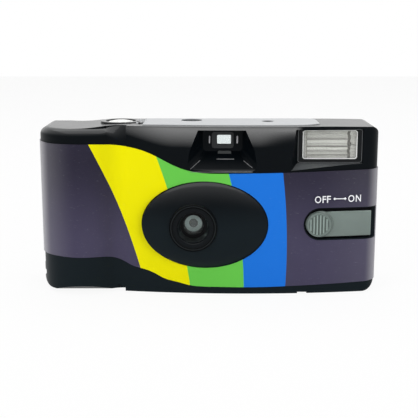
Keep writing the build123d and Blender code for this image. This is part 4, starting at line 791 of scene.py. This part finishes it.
def dress_wrap(prints):
    dress("wrap_label", wrap_paint(prints))
    ink = moulded("white_print", prints.ink, 0.45, 0.2 * MM, 0.1, 0.4, 0.2)
    shape = bmesh.new()
    for letter, left, right, foot in LETTERS:
        lay_letter(shape, letter, left * MM, right * MM, foot * MM,
                   foot * MM + prints.word_height)
    shape.faces.new([shape.verts.new(inked(x, z))
                     for x, z in arrow_points(43.8 * MM, 48.5 * MM, 34.45 * MM)])
    bmesh.ops.solidify(shape, geom=shape.faces[:], thickness=-INK_DEPTH)
    add_piece("switch_words", shape, "camera_body", "label_print", ink, smooth=False)


# Top

# The frame counter's numbers: how many, the step between them, the turn of the first, and
# their distance from the middle
NUMBER_COUNT = 12
NUMBER_STEP = 3
NUMBER_TURN = 0.46 - math.pi / 2
NUMBER_REACH = 6.6 * MM

# The silver skin's right end: from where it is drawn in, its length, by what share, and how
# much its front corner is rounded
SKIN_BEND = 30 * MM
SKIN_END = 9.4 * MM
SKIN_DRAWN = 0.80
SKIN_CORNER = 0.45


def silver_paint(top):
    """Silver grey skin, brushed along its length, with cloudy scuffs."""
    paint = Paint("silver_skin", Metallic=0.35, Specular_IOR_Level=0.5)
    brushed = paint.noise(0.12 * MM, 3.0, stretch=(0.04, 1, 1))
    clouds = paint.noise(12 * MM, 3.0)
    scuff = paint.noise(1.4 * MM, 4.0, 0.7).ramp(0.62, 0.8)
    base = paint.mix(clouds, times(top.silver, 0.93), top.silver)
    base = paint.mix(scuff * 0.25, base, (0.42, 0.43, 0.45))
    paint.set(Base_Color=base, Roughness=(0.33 + (brushed - 0.5) * 0.14 + scuff * 0.1).clamp(),
              Normal=paint.bump(brushed + clouds * 2, 0.15, RELIEF))
    return paint.material


def counter_numbers(ink):
    """Numbers round the frame counter, read through the round window."""
    shape = bmesh.new()
    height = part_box("counter_disc")[1].z + 0.03 * MM
    for k in range(NUMBER_COUNT):
        mesh = flat_text(str(k * NUMBER_STEP), align_x="CENTER", size=2.5 * MM, resolution_u=3)
        place = (Matrix.Translation((COUNTER.x, COUNTER.y, height))
                 @ Matrix.Rotation(TAU * k / NUMBER_COUNT + NUMBER_TURN, 4, "Z")
                 @ Matrix.Translation((0, NUMBER_REACH, 0)))
        add_flat(shape, mesh, [place @ v.co for v in mesh.vertices])
    bmesh.ops.solidify(shape, geom=shape.faces[:], thickness=0.02 * MM)
    add_piece("counter_numbers", shape, "counter", "counter_white", ink, smooth=False)


def silver_skin(top):
    """The silver skin with its right end drawn in and its front corner there rounded."""
    shape = bmesh.new()
    shape.from_mesh(NODES["top_label"].data)
    for vert in shape.verts:
        if vert.co.x > SKIN_BEND:
            vert.co.x = SKIN_BEND + (vert.co.x - SKIN_BEND) * SKIN_DRAWN
            share = (vert.co.x - SKIN_BEND) / SKIN_END
            if vert.co.y < 0:
                vert.co.y *= 1 - SKIN_CORNER * share ** 3
    add_piece("silver_skin", shape, "camera_body", "silver_label", silver_paint(top),
              replaces=("top_label",))


def skin_crinkle():
    """The crumpled corner of the skin between the collar and its flat part."""
    shape = bmesh.new()
    place = Matrix.Translation(mm(-24.0, 4.0, 59.93)) @ Matrix.Diagonal(
        (1.3 * MM, 5.5 * MM, 1, 1))
    bmesh.ops.create_grid(shape, x_segments=14, y_segments=40, size=1.0, matrix=place)
    for vert in shape.verts:
        x, y = vert.co.x / MM, vert.co.y / MM
        fold = math.sin(5.1 * x + 1.7 * math.sin(1.9 * y)) + 0.7 * math.sin(3.3 * y + 2.1 * x)
        vert.co.z += 0.16 * MM * fold
        vert.co.x += 0.25 * MM * math.sin(1.4 * y)
    bmesh.ops.solidify(shape, geom=shape.faces[:], thickness=0.05 * MM)
    add_piece("skin_crinkle", shape, "camera_body", "silver_label",
              metal("crinkled_foil", (0.34, 0.35, 0.36), 0.25))


def dress_top(top):
    silver_skin(top)
    skin_crinkle()
    dress("button_collar",
          moulded("gloss_black_collar", (0.006, 0.007, 0.008), 0.14, 0.5 * MM, 0.1, 0.25, 0.3))
    dress("shutter_button", moulded("white_button", top.button, 0.22, 0.4 * MM, 0.12, 0.5, 0.2))
    dress("counter_window", thin_clear("smoked_window", (0.55, 0.57, 0.60), 0.25))
    dress("ready_lamp", clear("amber_lamp", (0.45, 0.16, 0.05), 0.08))
    dress("counter_disc", moulded("counter_white", (0.62, 0.62, 0.60), 0.5))
    counter_numbers(moulded("number_ink", (0.02, 0.02, 0.022), 0.5))


# Lens

# The surround's turning: half a groove's width and its depth; the well's steps, lip, top and
# depth; the throat's wall
GROOVE_HALF = 0.22 * MM
GROOVE_DEPTH = 0.30 * MM
WELL_STEPS = 5
WELL_LIP = 0.25 * MM
WELL_TOP = 0.45 * MM
WELL_DEPTH = 3.9 * MM
THROAT_WALL = 0.8 * MM


def lens_surround(lens, black):
    """The turned lens surround: two fine rings, a stepped conical well and a throat."""
    low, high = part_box("lens_ring")
    back = low.y - high.y
    outer, well, throat = lens.outer, lens.well, lens.throat
    profile = [(outer, back), (outer, -0.45 * MM), (outer - 0.12 * MM, -0.15 * MM)]
    for ring in (lens.groove_outer, lens.groove_inner):
        profile += [(ring + GROOVE_HALF, 0.0), (ring + GROOVE_HALF * 0.5, -GROOVE_DEPTH),
                    (ring - GROOVE_HALF * 0.5, -GROOVE_DEPTH), (ring - GROOVE_HALF, 0.0)]
    profile += [(well + 0.35 * MM, 0.0), (well, -0.18 * MM), (well - WELL_LIP, -0.55 * MM)]
    for k in range(WELL_STEPS):
        share = (k + 1) / WELL_STEPS
        radius = well - WELL_LIP + (throat - well + WELL_LIP) * share
        profile += [(radius + 0.08 * MM, -WELL_TOP - WELL_DEPTH * (share - 0.06)),
                    (radius, -WELL_TOP - WELL_DEPTH * share)]
    profile += [(throat, -5.0 * MM), (throat + THROAT_WALL, -5.1 * MM),
                (throat + THROAT_WALL, back)]
    shape = lathe(profile, (LENS.x, low.y, LENS.z), 128)
    add_piece("lens_surround", shape, "camera_body", "ring_black", black,
              replaces=("lens_ring",), sharp=math.radians(28))


def ring_paint(lens):
    """Black moulding, with painted shade in its two fine grooves and a painted highlight on the
    land between them.
    """
    paint = Paint("satin_black_ring", Specular_IOR_Level=0.10, Coat_Roughness=0.14)
    x, _, z = paint.axes()
    grain = paint.noise(0.14 * MM, 2.0)
    across, up = x - LENS.x, z - LENS.z
    radius = (across * across + up * up).root()
    tone = paint.mix(grain, (0.0016, 0.0026, 0.0036), (0.0022, 0.0036, 0.0048))
    highlight_radius = (lens.groove_outer + lens.groove_inner) / 2
    # Painted highlight: a paler ring on the land between the grooves.
    tone = paint.mix(radius.near(highlight_radius, 0.15, 0.30), tone, (0.013, 0.016, 0.018))
    # Painted shade: the two fine grooves are painted darker.
    for ring in (lens.groove_outer, lens.groove_inner):
        tone = paint.mix(radius.near(ring, 0.08, 0.22), tone, (0.0004, 0.0005, 0.0006))
    paint.set(Base_Color=tone, Roughness=0.32 + grain * 0.08,
              Coat_Weight=paint.upward().ramp(0.20, 0.60),
              Normal=paint.bump(grain, 0.15, RELIEF))
    return paint.material


def dress_lens(lens):
    lens_surround(lens, ring_paint(lens))
    dress("taking_lens", thin_clear("coated_lens", lens.glass, 0.10))
    dress("lens_retainer", moulded("matt_retainer", (0.006, 0.006, 0.007), 0.5, specular=0.1))
    dress("aperture_plate", moulded("stop_plate", (0.86, 0.90, 0.90), 0.45))


# Finder

# The hood's face that the slots and the catch stand on, as a depth
HOOD_FACE = -5.8 * MM

# The frame's rings from the outside in: how far each is drawn in from the glass at the left,
# right, foot and top, its corners' radius, and how far it stands behind the glass's front
FRAME_RINGS = ((-0.5, -0.5, -1.3, -0.4, 1.1, 0.3), (-0.5, -0.5, -1.3, -0.4, 1.1, -0.3),
               (-0.3, -0.3, -1.1, -0.2, 0.95, -0.55), (1.4, 0.3, 0.15, 0.75, 0.5, -0.53),
               (1.55, 0.45, 0.35, 0.95, 0.4, 0.3))

# The bright edges of the hood: start, end, radius, in millimetres
BEADS = (((2.9, -8.75, 48.0), (9.1, -8.75, 48.0), 0.14),
         ((-6.3, -12.35, 44.0), (15.4, -12.45, 44.0), 0.08),
         ((-2.8, -8.9, 47.6), (-6.2, -11.8, 44.9), 0.09),
         ((12.4, -9.0, 47.5), (15.9, -11.9, 44.9), 0.09))


def finder_frame():
    """The moulded frame round the finder's glass, sloping in towards it."""
    add_piece("finder_frame", ring_solid(FINDER_LOW, FINDER_HIGH, FRAME_RINGS, 6),
              "camera_body", "black_shell",
              moulded("finder_frame", (0.022, 0.024, 0.026), 0.40, 0.2 * MM, 0.2, 0.2,
                      polish=0.8))


def finder_slots():
    """The upright slots at both sides of the frame, painted pale for the light that shows
    through them.
    """
    shape = bmesh.new()
    foot, top = FINDER_LOW.z + 0.6 * MM, FINDER_HIGH.z - 1.2 * MM
    for left, right in ((FINDER_LOW.x - 1.35 * MM, FINDER_LOW.x - 0.9 * MM),
                        (FINDER_HIGH.x + 1.35 * MM, FINDER_HIGH.x + 1.9 * MM)):
        outline_solid(round_rect(left, right, foot, top, 0.2 * MM),
                      HOOD_FACE - 0.25 * MM, HOOD_FACE, shape)
    # Painted light: the slots are pale bars, for the light showing through.
    add_piece("finder_slots", shape, "camera_body", "black_shell",
              moulded("light_slot", (0.40, 0.40, 0.42), 0.5, 0.2 * MM, 0.1, 0.3, 0.2))


def finder_catch():
    """The catch under the frame."""
    shape = outline_solid(round_rect(FINDER_LOW.x + 1.8 * MM, FINDER_HIGH.x - 0.5 * MM,
                                     FINDER_LOW.z - 3.9 * MM, FINDER_LOW.z - 2.0 * MM,
                                     0.45 * MM), HOOD_FACE - 0.9 * MM, HOOD_FACE)
    rounded(shape, 0.2 * MM)
    add_piece("finder_catch", shape, "camera_body", "black_shell",
              moulded("finder_catch", (0.030, 0.033, 0.034), 0.35, 0.2 * MM, 0.4, 0.3,
                      polish=0.9))


def finder_beads():
    """The thin bright lines where the hood's edges catch the light."""
    shape = bmesh.new()
    for start, end, thick in BEADS:
        rod(shape, mm(*start), mm(*end), thick * MM)
    add_piece("finder_beads", shape, "camera_body", "black_shell",
              moulded("finder_bead", (0.20, 0.205, 0.21), 0.25, 0.3 * MM, 0.1, 0.5, 0.3))


def dress_finder():
    glass = thin_clear("finder_glass", (0.97, 0.99, 0.99), 0.06)
    dress("viewfinder_front_lens", glass)
    dress("viewfinder_rear_lens", glass)
    finder_frame()
    finder_slots()
    finder_catch()
    finder_beads()


# Flash

# The painted light and shade of the fluted diffuser, from top to bottom: share of its height,
# brightness. Two flutes blend over the blur's share to either side.
FLUTE_LIGHT = ((0.00, 0.60), (0.115, 0.66), (0.27, 0.36), (0.345, 0.92), (0.455, 0.55),
          (0.49, 0.74), (0.542, 0.22), (0.60, 0.95), (0.68, 0.46), (0.775, 0.68),
          (0.85, 0.24), (0.893, 0.62), (0.955, 0.95))
FLUTE_BLUR = 0.012

# The pane's thickness, how far behind its front the diffuser lies, and how flat the flutes'
# round bars are pressed
PANE_DEPTH = 0.4 * MM
DIFFUSER_BEHIND = 0.9 * MM
FLUTE_FLATNESS = 0.35


def flute_paint(flash, low, high):
    """Bands of painted light and shade across the diffuser, as the flash's ribbed front shows
    them, with the tube's dark holder at the right.
    """
    paint = Paint("fluted_diffuser", Specular_IOR_Level=0.3, Roughness=0.3)
    x, _, z = paint.axes()
    wander = (paint.noise(1.0 * MM, 3.0, stretch=(0.15, 1, 1)) - 0.5) * 0.05
    share = (z - low.z) / (low.z - high.z) + 1 + wander
    # Painted light and shade: each flute gets its own brightness of the reflector's tone.
    tone = times(flash.silver, FLUTE_LIGHT[0][1])
    for start, bright in FLUTE_LIGHT[1:]:
        tone = paint.mix(share.ramp(start - FLUTE_BLUR, start + FLUTE_BLUR), tone,
                         times(flash.silver, bright))
    spots = paint.noise(0.5 * MM, 3.0).ramp(0.55, 0.75)
    tone = paint.mix(spots * 0.3, tone, (0.25, 0.25, 0.22))
    ragged = paint.noise(1.6 * MM, 2.0, stretch=(0.1, 1, 1))
    ragged = (ragged - 0.5) * 1.1 * MM
    plain = (x + ragged * 0.4).ramp(high.x - 2.5 * MM, high.x - 2.2 * MM)
    tone = paint.mix(plain, tone, times(flash.silver, 0.62))
    dark = (x + ragged).near(high.x - 2.85 * MM, 0.40, 0.60)
    tone = paint.mix(dark, tone, (0.030, 0.030, 0.027))
    border = (x * -1).ramp(-low.x - 1.6 * MM, -low.x - 1.5 * MM)
    tone = paint.mix(border, tone, times(flash.silver, 0.55))
    line = x.near(low.x + 1.5 * MM, 0.05, 0.2)
    tone = paint.mix(line * 0.8, tone, (0.15, 0.15, 0.13))
    paint.set(Base_Color=tone, Normal=paint.bump(spots + wander * 4, 0.2, 0.05 * MM))
    return paint.material


def flash_pane(pane):
    """The clear pane in front of the flash."""
    front = PANE_LOW.y
    shape = outline_solid(round_rect(*inset(PANE_LOW, PANE_HIGH, 0, 0, 0, 0, 0.8)), front,
                          front + PANE_DEPTH)
    add_piece("flash_pane", shape, "camera_body", "clear_pane", pane,
              replaces=("flash_window",))


def flash_diffuser(flash, pane):
    """The fluted plate behind the pane: round bars pressed flat on a backing."""
    front = PANE_LOW.y + DIFFUSER_BEHIND
    size, middle = PANE_HIGH - PANE_LOW, (PANE_LOW + PANE_HIGH) / 2
    shape = bar_tree().grow("diffuser_flutes", {
        "Width": size.x - 0.6 * MM, "Height": size.z - 0.4 * MM, "Count": flash.rib_count,
        "Radius": size.z / flash.rib_count * 0.5, "Finish": pane})
    for vert in shape.verts:
        vert.co.y *= FLUTE_FLATNESS
    move(shape, Matrix.Translation((middle.x, front, middle.z)))
    backing = round_rect(*inset(PANE_LOW, PANE_HIGH, 0.05, 0.05, 0.05, 0.05, 0.8))
    outline_solid(backing, front, PANE_HIGH.y - 0.1 * MM, shape)
    add_piece("flash_diffuser", shape, "camera_body", "reflector_bright",
              flute_paint(flash, PANE_LOW, PANE_HIGH))


def pane_rim():
    """The pale line where the pane's edge catches the light."""
    shape = thin_frame(PANE_LOW, PANE_HIGH, (0, 0, 0, 0, 0.85), (0.3, 0.3, 0.3, 0.15, 0.6),
                       -0.08, 0.02)
    add_piece("pane_rim", shape, "camera_body", "clear_pane",
              moulded("pane_rim", (0.86, 0.87, 0.85), 0.25, 0.3 * MM, 0.1, 0.4, 0.3))


def bezel_edge():
    """The outer edge of the gloss black bezel, with a painted highlight along it."""
    # Painted highlight: a pale thin frame on the bezel's edge.
    shape = thin_frame(BEZEL_LOW, BEZEL_HIGH, (0.10, 0.10, 0.1, 0.05, 0.9),
                       (0.30, 0.30, 0.25, 0.2, 0.7), -0.04, 0.05)
    add_piece("bezel_edge", shape, "camera_body", "bezel_gloss",
              moulded("worn_edge", (0.10, 0.105, 0.11), 0.3, 0.3 * MM, 0.3, 0.3, 0.5))


def trigger_lead():
    """The tube's trigger lead: a flat knot and a short sloping wire."""
    shape = bmesh.new()
    middle = (PANE_LOW.z + PANE_HIGH.z) / 2
    knot = Vector((PANE_HIGH.x - 2.7 * MM, PANE_LOW.y + DIFFUSER_BEHIND - 0.15 * MM,
                   middle + 0.2 * MM))
    bmesh.ops.create_uvsphere(shape, u_segments=20, v_segments=12, radius=0.75 * MM,
                              matrix=Matrix.Translation(knot)
                              @ Matrix.Diagonal((1, 0.25, 1.1, 1)))
    slope = math.radians(102)
    half = Vector((math.sin(slope), 0, math.cos(slope))) * 1.1 * MM
    wire = knot + mm(1.4, -0.1, -0.25)
    rod(shape, wire - half, wire + half, 0.09 * MM)
    add_piece("trigger_lead", shape, "camera_body", "bezel_gloss",
              moulded("lead_black", (0.020, 0.020, 0.018), 0.4, specular=0.2))


def dress_flash(flash):
    dress("flash_bezel", moulded("gloss_black_bezel", (0.003, 0.004, 0.005), 0.20, 0.6 * MM,
                                 0.2, 0.16, 0.5, 0.8))
    dress("flash_reflector", metal("bright_reflector", flash.silver, 0.22, (0.03, 1, 1)))
    dress("flash_tube", clear("tube_glass", (0.95, 0.95, 0.90), 0.02))
    pane = thin_clear("clear_pane", flash.pane, 0.08)
    flash_pane(pane)
    flash_diffuser(flash, pane)
    pane_rim()
    bezel_edge()
    trigger_lead()


# Switch

# The slider lies along the bowed front: its own X runs along it, its own -Y points outwards.
# Then the middles of its knob and of the knob's ridged face, and how far that face stands out.
SLIDER_PLACE = (Matrix.Translation(mm(38.9, -11.0, 0))
                @ Matrix.Rotation(math.atan2(0.138547, 0.990356), 4, "Z"))
KNOB = mm(-0.1, 0, 25.22)
RIDGE_FACE = KNOB + mm(-0.12, 0, 0)
FACE_HEIGHT = 1.62 * MM

# The strip: length, foot, top, how far it bows out, and in how many steps it is drawn
STRIP_LENGTH = 19.0 * MM
STRIP_FOOT = 20.6 * MM
STRIP_TOP = 29.6 * MM
STRIP_BOW = -0.30 * MM
STRIP_STEPS = 12

# The strip's long edges: depth, distance in from the foot or the top, in millimetres. What
# lies deeper than the back's depth stays straight.
STRIP_EDGE = ((0.9, 0.0), (0.0, 0.0), (-0.25, 0.1), (-0.4, 0.35))
STRIP_BACK = 0.5

# The knob's and the skirt's turnings: radius, height out of the strip, in millimetres
KNOB_PROFILE = ((0.0, -0.8), (4.42, -0.8), (4.40, 0.85), (4.38, 1.15), (4.34, 1.60),
                (4.20, 1.78), (3.95, 1.84), (3.72, 1.78), (3.66, 1.60), (0.0, 1.60))
SKIRT_PROFILE = ((0.0, 0.3), (4.75, 0.3), (4.45, 0.75), (4.0, 1.1), (0.0, 1.1))
GROOVE_PROFILE = ((0.0, 1.62), (3.6, 1.62), (3.6, 1.50), (0.0, 1.50))

# The bright lines along the strip's top and right end: start, end, in millimetres
EDGE_LINES = (((4.5, -0.42, 29.5), (18.8, -0.30, 29.5)),
              ((18.85, -0.28, 20.9), (18.85, -0.28, 29.4)))


def slider_paint(name, tint):
    return moulded(name, tint, 0.38, 0.18 * MM, 0.25, 0.30, 0.5, 0.5)


def turned(profile, foot, steps):
    """A profile in millimetres turned round an axis that points out of the slider."""
    return lathe([(r * MM, h * MM) for r, h in profile], foot, steps)


def slider_piece(name, shape, finish, **more):
    """Adds a shape, drawn in the slider's own axes, as a piece that travels with it."""
    move(shape, SLIDER_PLACE)
    add_piece(name, shape, "slider", "slider_grey", finish, **more)


def slider_strip(sage):
    """The bowed strip with rounded long edges."""
    section = [(depth, STRIP_FOOT + rise * MM) for depth, rise in STRIP_EDGE]
    section += [(depth, STRIP_TOP - rise * MM) for depth, rise in reversed(STRIP_EDGE)]
    rows = []
    for k in range(STRIP_STEPS + 1):
        share = k / STRIP_STEPS
        bow = STRIP_BOW * math.sin(math.pi * share)
        rows.append([(STRIP_LENGTH * share, depth * MM + bow * (depth < STRIP_BACK), z)
                     for depth, z in section])
    shape = bmesh.new()
    join_rows(shape, rows, around=False)
    slider_piece("slider_strip", shape, sage, replaces=("flash_slider",))


def slider_knob(sage):
    """The round knob with a raised rim, held within the slider's own box."""
    shape = turned(KNOB_PROFILE, KNOB, 96)
    move(shape, SLIDER_PLACE)
    for vert in shape.verts:
        vert.co.x = max(vert.co.x, KNOB_LOW.x)
        vert.co.z = min(max(vert.co.z, KNOB_LOW.z), KNOB_HIGH.z)
    add_piece("slider_knob", shape, "slider", "slider_grey", sage)


def slider_ridges(switch, highlight_sage):
    """The knob's six upright ridges, cut to its round face, painted lighter as a highlight."""
    shape = ridge_tree().grow("slider_ridges", {
        "Radius": switch.ridge_radius, "Count": switch.ridge_count,
        "Pitch": switch.ridge_pitch, "Width": switch.ridge_width, "Rise": switch.ridge_width,
        "Finish": highlight_sage})
    move(shape, Matrix.Translation(RIDGE_FACE - Vector((0, FACE_HEIGHT, 0))))
    slider_piece("slider_ridges", shape, highlight_sage)


def slider_edge(highlight_sage):
    """Painted highlights: pale lines along the strip's top and right end."""
    shape = bmesh.new()
    for start, end in EDGE_LINES:
        rod(shape, mm(*start), mm(*end), 0.14 * MM)
    slider_piece("slider_edge", shape, highlight_sage)


def dress_switch(switch):
    """The slider: a bowed strip, a round knob with a soft skirt, a sunk face and ridges; the
    skirt and the sunk face carry painted shade, the ridges a painted highlight.
    """
    sage = slider_paint("sage_slider", switch.grey)
    slider_strip(sage)
    slider_knob(sage)
    # Painted shade: the skirt, set off to the knob's right, is painted darker than the slider.
    slider_piece("slider_skirt", turned(SKIRT_PROFILE, KNOB + mm(0.9, 0, 0), 72),
                 slider_paint("sage_skirt", times(switch.grey, 0.85)))
    plate = round_rect(-4.5 * MM, STRIP_LENGTH, 20.0 * MM, 30.4 * MM, 0.6 * MM)
    slider_piece("slider_plate", outline_solid(plate, 0.45 * MM, 0.9 * MM),
                 moulded("slider_shadow", (0.003, 0.003, 0.004), 0.6, specular=0.05))
    # Painted shade: the knob's sunk face is painted darker than the slider.
    slider_piece("slider_grooves", turned(GROOVE_PROFILE, RIDGE_FACE, 64),
                 slider_paint("sage_groove", times(switch.grey, 0.55)))
    # Painted highlight: the ridges and the strip's edge lines are painted lighter than the
    # slider.
    highlight_sage = slider_paint("sage_ridge", times(switch.grey, 1.7))
    slider_ridges(switch, highlight_sage)
    slider_edge(highlight_sage)
    dress("slider_contact", metal("contact_brass", (0.72, 0.52, 0.22)))


# Inside


def return_spring(steel):
    """The button's spring, as a piece of its own standing on its seat."""
    made = add_piece("return_spring", NODES["button_spring"].data.copy(), "camera_body",
                     "spring_steel", steel, replaces=("button_spring",))
    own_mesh(made)


def dress_inside():
    steel = metal("spring_steel", (0.55, 0.55, 0.54), 0.3)
    brass = metal("plated_brass", (0.72, 0.55, 0.26), 0.28)
    white = moulded("natural_acetal", (0.60, 0.60, 0.57), 0.45, 0.3 * MM, 0.3, 0.5, 0.3)
    black = moulded("wheel_black", (0.016, 0.016, 0.018), 0.45, 0.2 * MM, 0.4)
    film = moulded("film_base", (0.10, 0.055, 0.045), 0.2, 1 * MM, 0.05)
    dress_all({
        steel: ("button_spring", "shutter_pin", "shutter_spring", "striker_pin",
                "striker_spring", "release_pin", "pawl_pin"),
        brass: ("battery_contact_plus", "battery_contact_minus", "sync_contact"),
        white: ("striker_lever", "release_lever", "anti_reverse_pawl", "sprocket_wheel"),
        black: ("thumb_wheel", "cartridge_spool", "supply_spool"),
        moulded("blackened_blade", (0.02, 0.02, 0.021), 0.4): ("shutter_blade",),
        film: ("film_strip", "film_roll"),
        metal("lacquered_cartridge", (0.70, 0.66, 0.20), 0.3): ("film_cartridge",),
        moulded("board_green", (0.02, 0.12, 0.05), 0.4): ("circuit_board",),
        moulded("ferrite", (0.06, 0.055, 0.05), 0.6): ("flash_transformer",),
        metal("coil_copper", (0.72, 0.32, 0.14), 0.4, (1, 1, 8)): ("trigger_coil",),
        moulded("capacitor_sleeve", (0.02, 0.022, 0.05), 0.3): ("flash_capacitor",),
        moulded("battery_wrap", (0.03, 0.07, 0.16), 0.25): ("aa_battery",),
    })
    return_spring(steel)


# Stage

# The lamps: name, place, size, power, and whether it is mirrored in gloss
LAMPS = (("overhead", (0.0, 0.10, 0.80), (1.3, 1.10), 7.0, True),
         ("front_left", (-0.68, -0.60, 0.30), (0.6, 0.6), 3.95, False),
         ("front_right", (0.65, -0.65, 0.30), (0.6, 0.6), 3.1, False))
LAMP_AIM = Vector((0, 0, 0.03))
SENSOR = 36.0


def sheet_of(name, size, material, place):
    """A flat square of the stage."""
    shape = bmesh.new()
    bmesh.ops.create_grid(shape, x_segments=1, y_segments=1, size=size, matrix=place)
    made = new_object(name, new_mesh(name, shape))
    made.data.materials.append(material)


def glow_white(paint, share):
    """Lifts a paint to plain white by a share, where the background is seen."""
    glow = paint.out("ShaderNodeEmission", {}, {0: WHITE, 1: 1.0})
    paint.cover(paint.background_rays() * share, glow)


def floor_material(stage):
    """A pale floor, white to the camera but for the object's faint shadow."""
    paint = Paint("pale_floor", Roughness=0.8, Specular_IOR_Level=0.0)
    cloud = paint.noise(0.2, 2.0)
    paint.set(Base_Color=paint.mix(cloud, times(stage.floor, 0.99), stage.floor))
    glow_white(paint, stage.whiteness)
    return paint.material


def backdrop_material():
    """A white wall behind the object, for the camera and for the top's gloss."""
    paint = Paint("pale_backdrop", Base_Color=(0.9, 0.9, 0.9), Roughness=0.9,
                  Specular_IOR_Level=0.0)
    glow_white(paint, 1.0)
    return paint.material


def world_light(strength):
    """Even light all round, and plain white where the world itself is seen."""
    world = bpy.data.worlds.new("studio")
    bpy.context.scene.world = world
    world.use_nodes = True
    world.node_tree.nodes.clear()
    graph = Graph(world.node_tree)
    soft = graph.out("ShaderNodeBackground", {}, {0: WHITE, 1: strength})
    white = graph.out("ShaderNodeBackground", {}, {0: WHITE, 1: 1.0})
    both = graph.out("ShaderNodeMixShader", {}, {0: graph.background_rays(), 1: soft, 2: white})
    graph.node("ShaderNodeOutputWorld", {}, {0: both})


def soft_lamp(name, place, size, power, mirrored):
    """A square soft lamp that points at the object."""
    data = bpy.data.lights.new(name, "AREA")
    data.shape = "RECTANGLE"
    data.size, data.size_y = size
    data.energy = power
    lamp = new_object(name, data)
    lamp.location = place
    lamp.rotation_euler = (LAMP_AIM - Vector(place)).to_track_quat("-Z", "Y").to_euler()
    lamp.visible_glossy = mirrored


def camera_view(stage):
    """The photo's viewpoint."""
    target = Vector((stage.target_shift, 2.7 * MM, stage.target_height))
    lean, turn = stage.elevation, stage.turn
    away = Vector((math.sin(turn) * math.cos(lean), -math.cos(turn) * math.cos(lean),
                   math.sin(lean)))
    data = bpy.data.cameras.new("view")
    data.sensor_width = SENSOR
    data.lens = SENSOR * stage.focal_pixels / PHOTO_PIXELS
    data.clip_start = 0.01
    eye = new_object("view", data)
    eye.location = target + away * stage.distance
    eye.rotation_euler = (target - eye.location).to_track_quat("-Z", "Y").to_euler()
    bpy.context.scene.camera = eye


def set_stage(stage):
    bpy.context.scene.view_settings.view_transform = "Standard"
    sheet_of("floor", 1.6, floor_material(stage), Matrix.Translation((0, 0, -0.0002)))
    upright = Matrix.Translation((0, 1.2, 0.8)) @ Matrix.Rotation(math.pi / 2, 4, "X")
    sheet_of("backdrop", 0.8, backdrop_material(), upright)
    world_light(stage.ambient)
    for lamp in LAMPS:
        soft_lamp(*lamp)
    camera_view(stage)


# Operators and panel


class Maker(bpy.types.Operator):
    """What the operators share."""

    bl_options = {"REGISTER", "UNDO"}


class FILMCAMERA_OT_shell(Maker):
    """Finish the moulded shell, doors and inner frame"""

    bl_idname = "film_camera.shell"
    bl_label = "Shell"

    def execute(self, context):
        dress_shell(context.scene.film_camera.shell)
        return {"FINISHED"}


class FILMCAMERA_OT_wrap(Maker):
    """Print the wrap and lay the switch's words on it"""

    bl_idname = "film_camera.wrap"
    bl_label = "Printed Wrap"

    def execute(self, context):
        dress_wrap(context.scene.film_camera.prints)
        return {"FINISHED"}


class FILMCAMERA_OT_top(Maker):
    """Finish the silver skin, button, collar, counter and lamp"""

    bl_idname = "film_camera.top"
    bl_label = "Top"

    def execute(self, context):
        dress_top(context.scene.film_camera.top)
        return {"FINISHED"}


class FILMCAMERA_OT_lens(Maker):
    """Turn the lens surround and finish the lens"""

    bl_idname = "film_camera.lens"
    bl_label = "Lens"

    def execute(self, context):
        dress_lens(context.scene.film_camera.lens)
        return {"FINISHED"}


class FILMCAMERA_OT_finder(Maker):
    """Build the finder's frame and finish its glass"""

    bl_idname = "film_camera.finder"
    bl_label = "Finder"

    def execute(self, context):
        dress_finder()
        return {"FINISHED"}


class FILMCAMERA_OT_flash(Maker):
    """Build the ribbed pane, tube and reflector"""

    bl_idname = "film_camera.flash"
    bl_label = "Flash"

    def execute(self, context):
        dress_flash(context.scene.film_camera.flash)
        return {"FINISHED"}


class FILMCAMERA_OT_switch(Maker):
    """Finish the flash switch"""

    bl_idname = "film_camera.switch"
    bl_label = "Flash Switch"

    def execute(self, context):
        dress_switch(context.scene.film_camera.switch)
        return {"FINISHED"}


class FILMCAMERA_OT_inside(Maker):
    """Finish the film path, shutter, battery and flash board"""

    bl_idname = "film_camera.inside"
    bl_label = "Inside"

    def execute(self, context):
        dress_inside()
        return {"FINISHED"}


class FILMCAMERA_OT_stage(Maker):
    """Place the floor, lamps and camera"""

    bl_idname = "film_camera.stage"
    bl_label = "Stage"

    def execute(self, context):
        set_stage(context.scene.film_camera.stage)
        return {"FINISHED"}


class CameraSettings(bpy.types.PropertyGroup):
    shell: PointerProperty(type=ShellSettings, name="Shell")
    prints: PointerProperty(type=PrintSettings, name="Prints")
    lens: PointerProperty(type=LensSettings, name="Lens")
    flash: PointerProperty(type=FlashSettings, name="Flash")
    switch: PointerProperty(type=SwitchSettings, name="Switch")
    top: PointerProperty(type=TopSettings, name="Top")
    stage: PointerProperty(type=StageSettings, name="Stage")


OPERATORS = (FILMCAMERA_OT_shell, FILMCAMERA_OT_wrap, FILMCAMERA_OT_top, FILMCAMERA_OT_lens,
             FILMCAMERA_OT_finder, FILMCAMERA_OT_flash, FILMCAMERA_OT_switch,
             FILMCAMERA_OT_inside, FILMCAMERA_OT_stage)


class FILMCAMERA_PT_panel(bpy.types.Panel):
    """The makers of the film camera's looks"""

    bl_idname = "FILMCAMERA_PT_panel"
    bl_label = "Film Camera"
    bl_space_type = "VIEW_3D"
    bl_region_type = "UI"
    bl_category = "Film Camera"

    def draw(self, context):
        for maker in OPERATORS:
            self.layout.operator(maker.bl_idname)


CLASSES = (ShellSettings, PrintSettings, LensSettings, FlashSettings, SwitchSettings,
           TopSettings, StageSettings, CameraSettings, *OPERATORS, FILMCAMERA_PT_panel)


def register():
    for made in CLASSES:
        bpy.utils.register_class(made)
    bpy.types.Scene.film_camera = PointerProperty(type=CameraSettings)


def unregister():
    del bpy.types.Scene.film_camera
    for made in reversed(CLASSES):
        bpy.utils.unregister_class(made)


def main():
    register()
    for maker in OPERATORS:
        group, _, call = maker.bl_idname.partition(".")
        getattr(getattr(bpy.ops, group), call)()


if __name__ == "__main__":
    main()
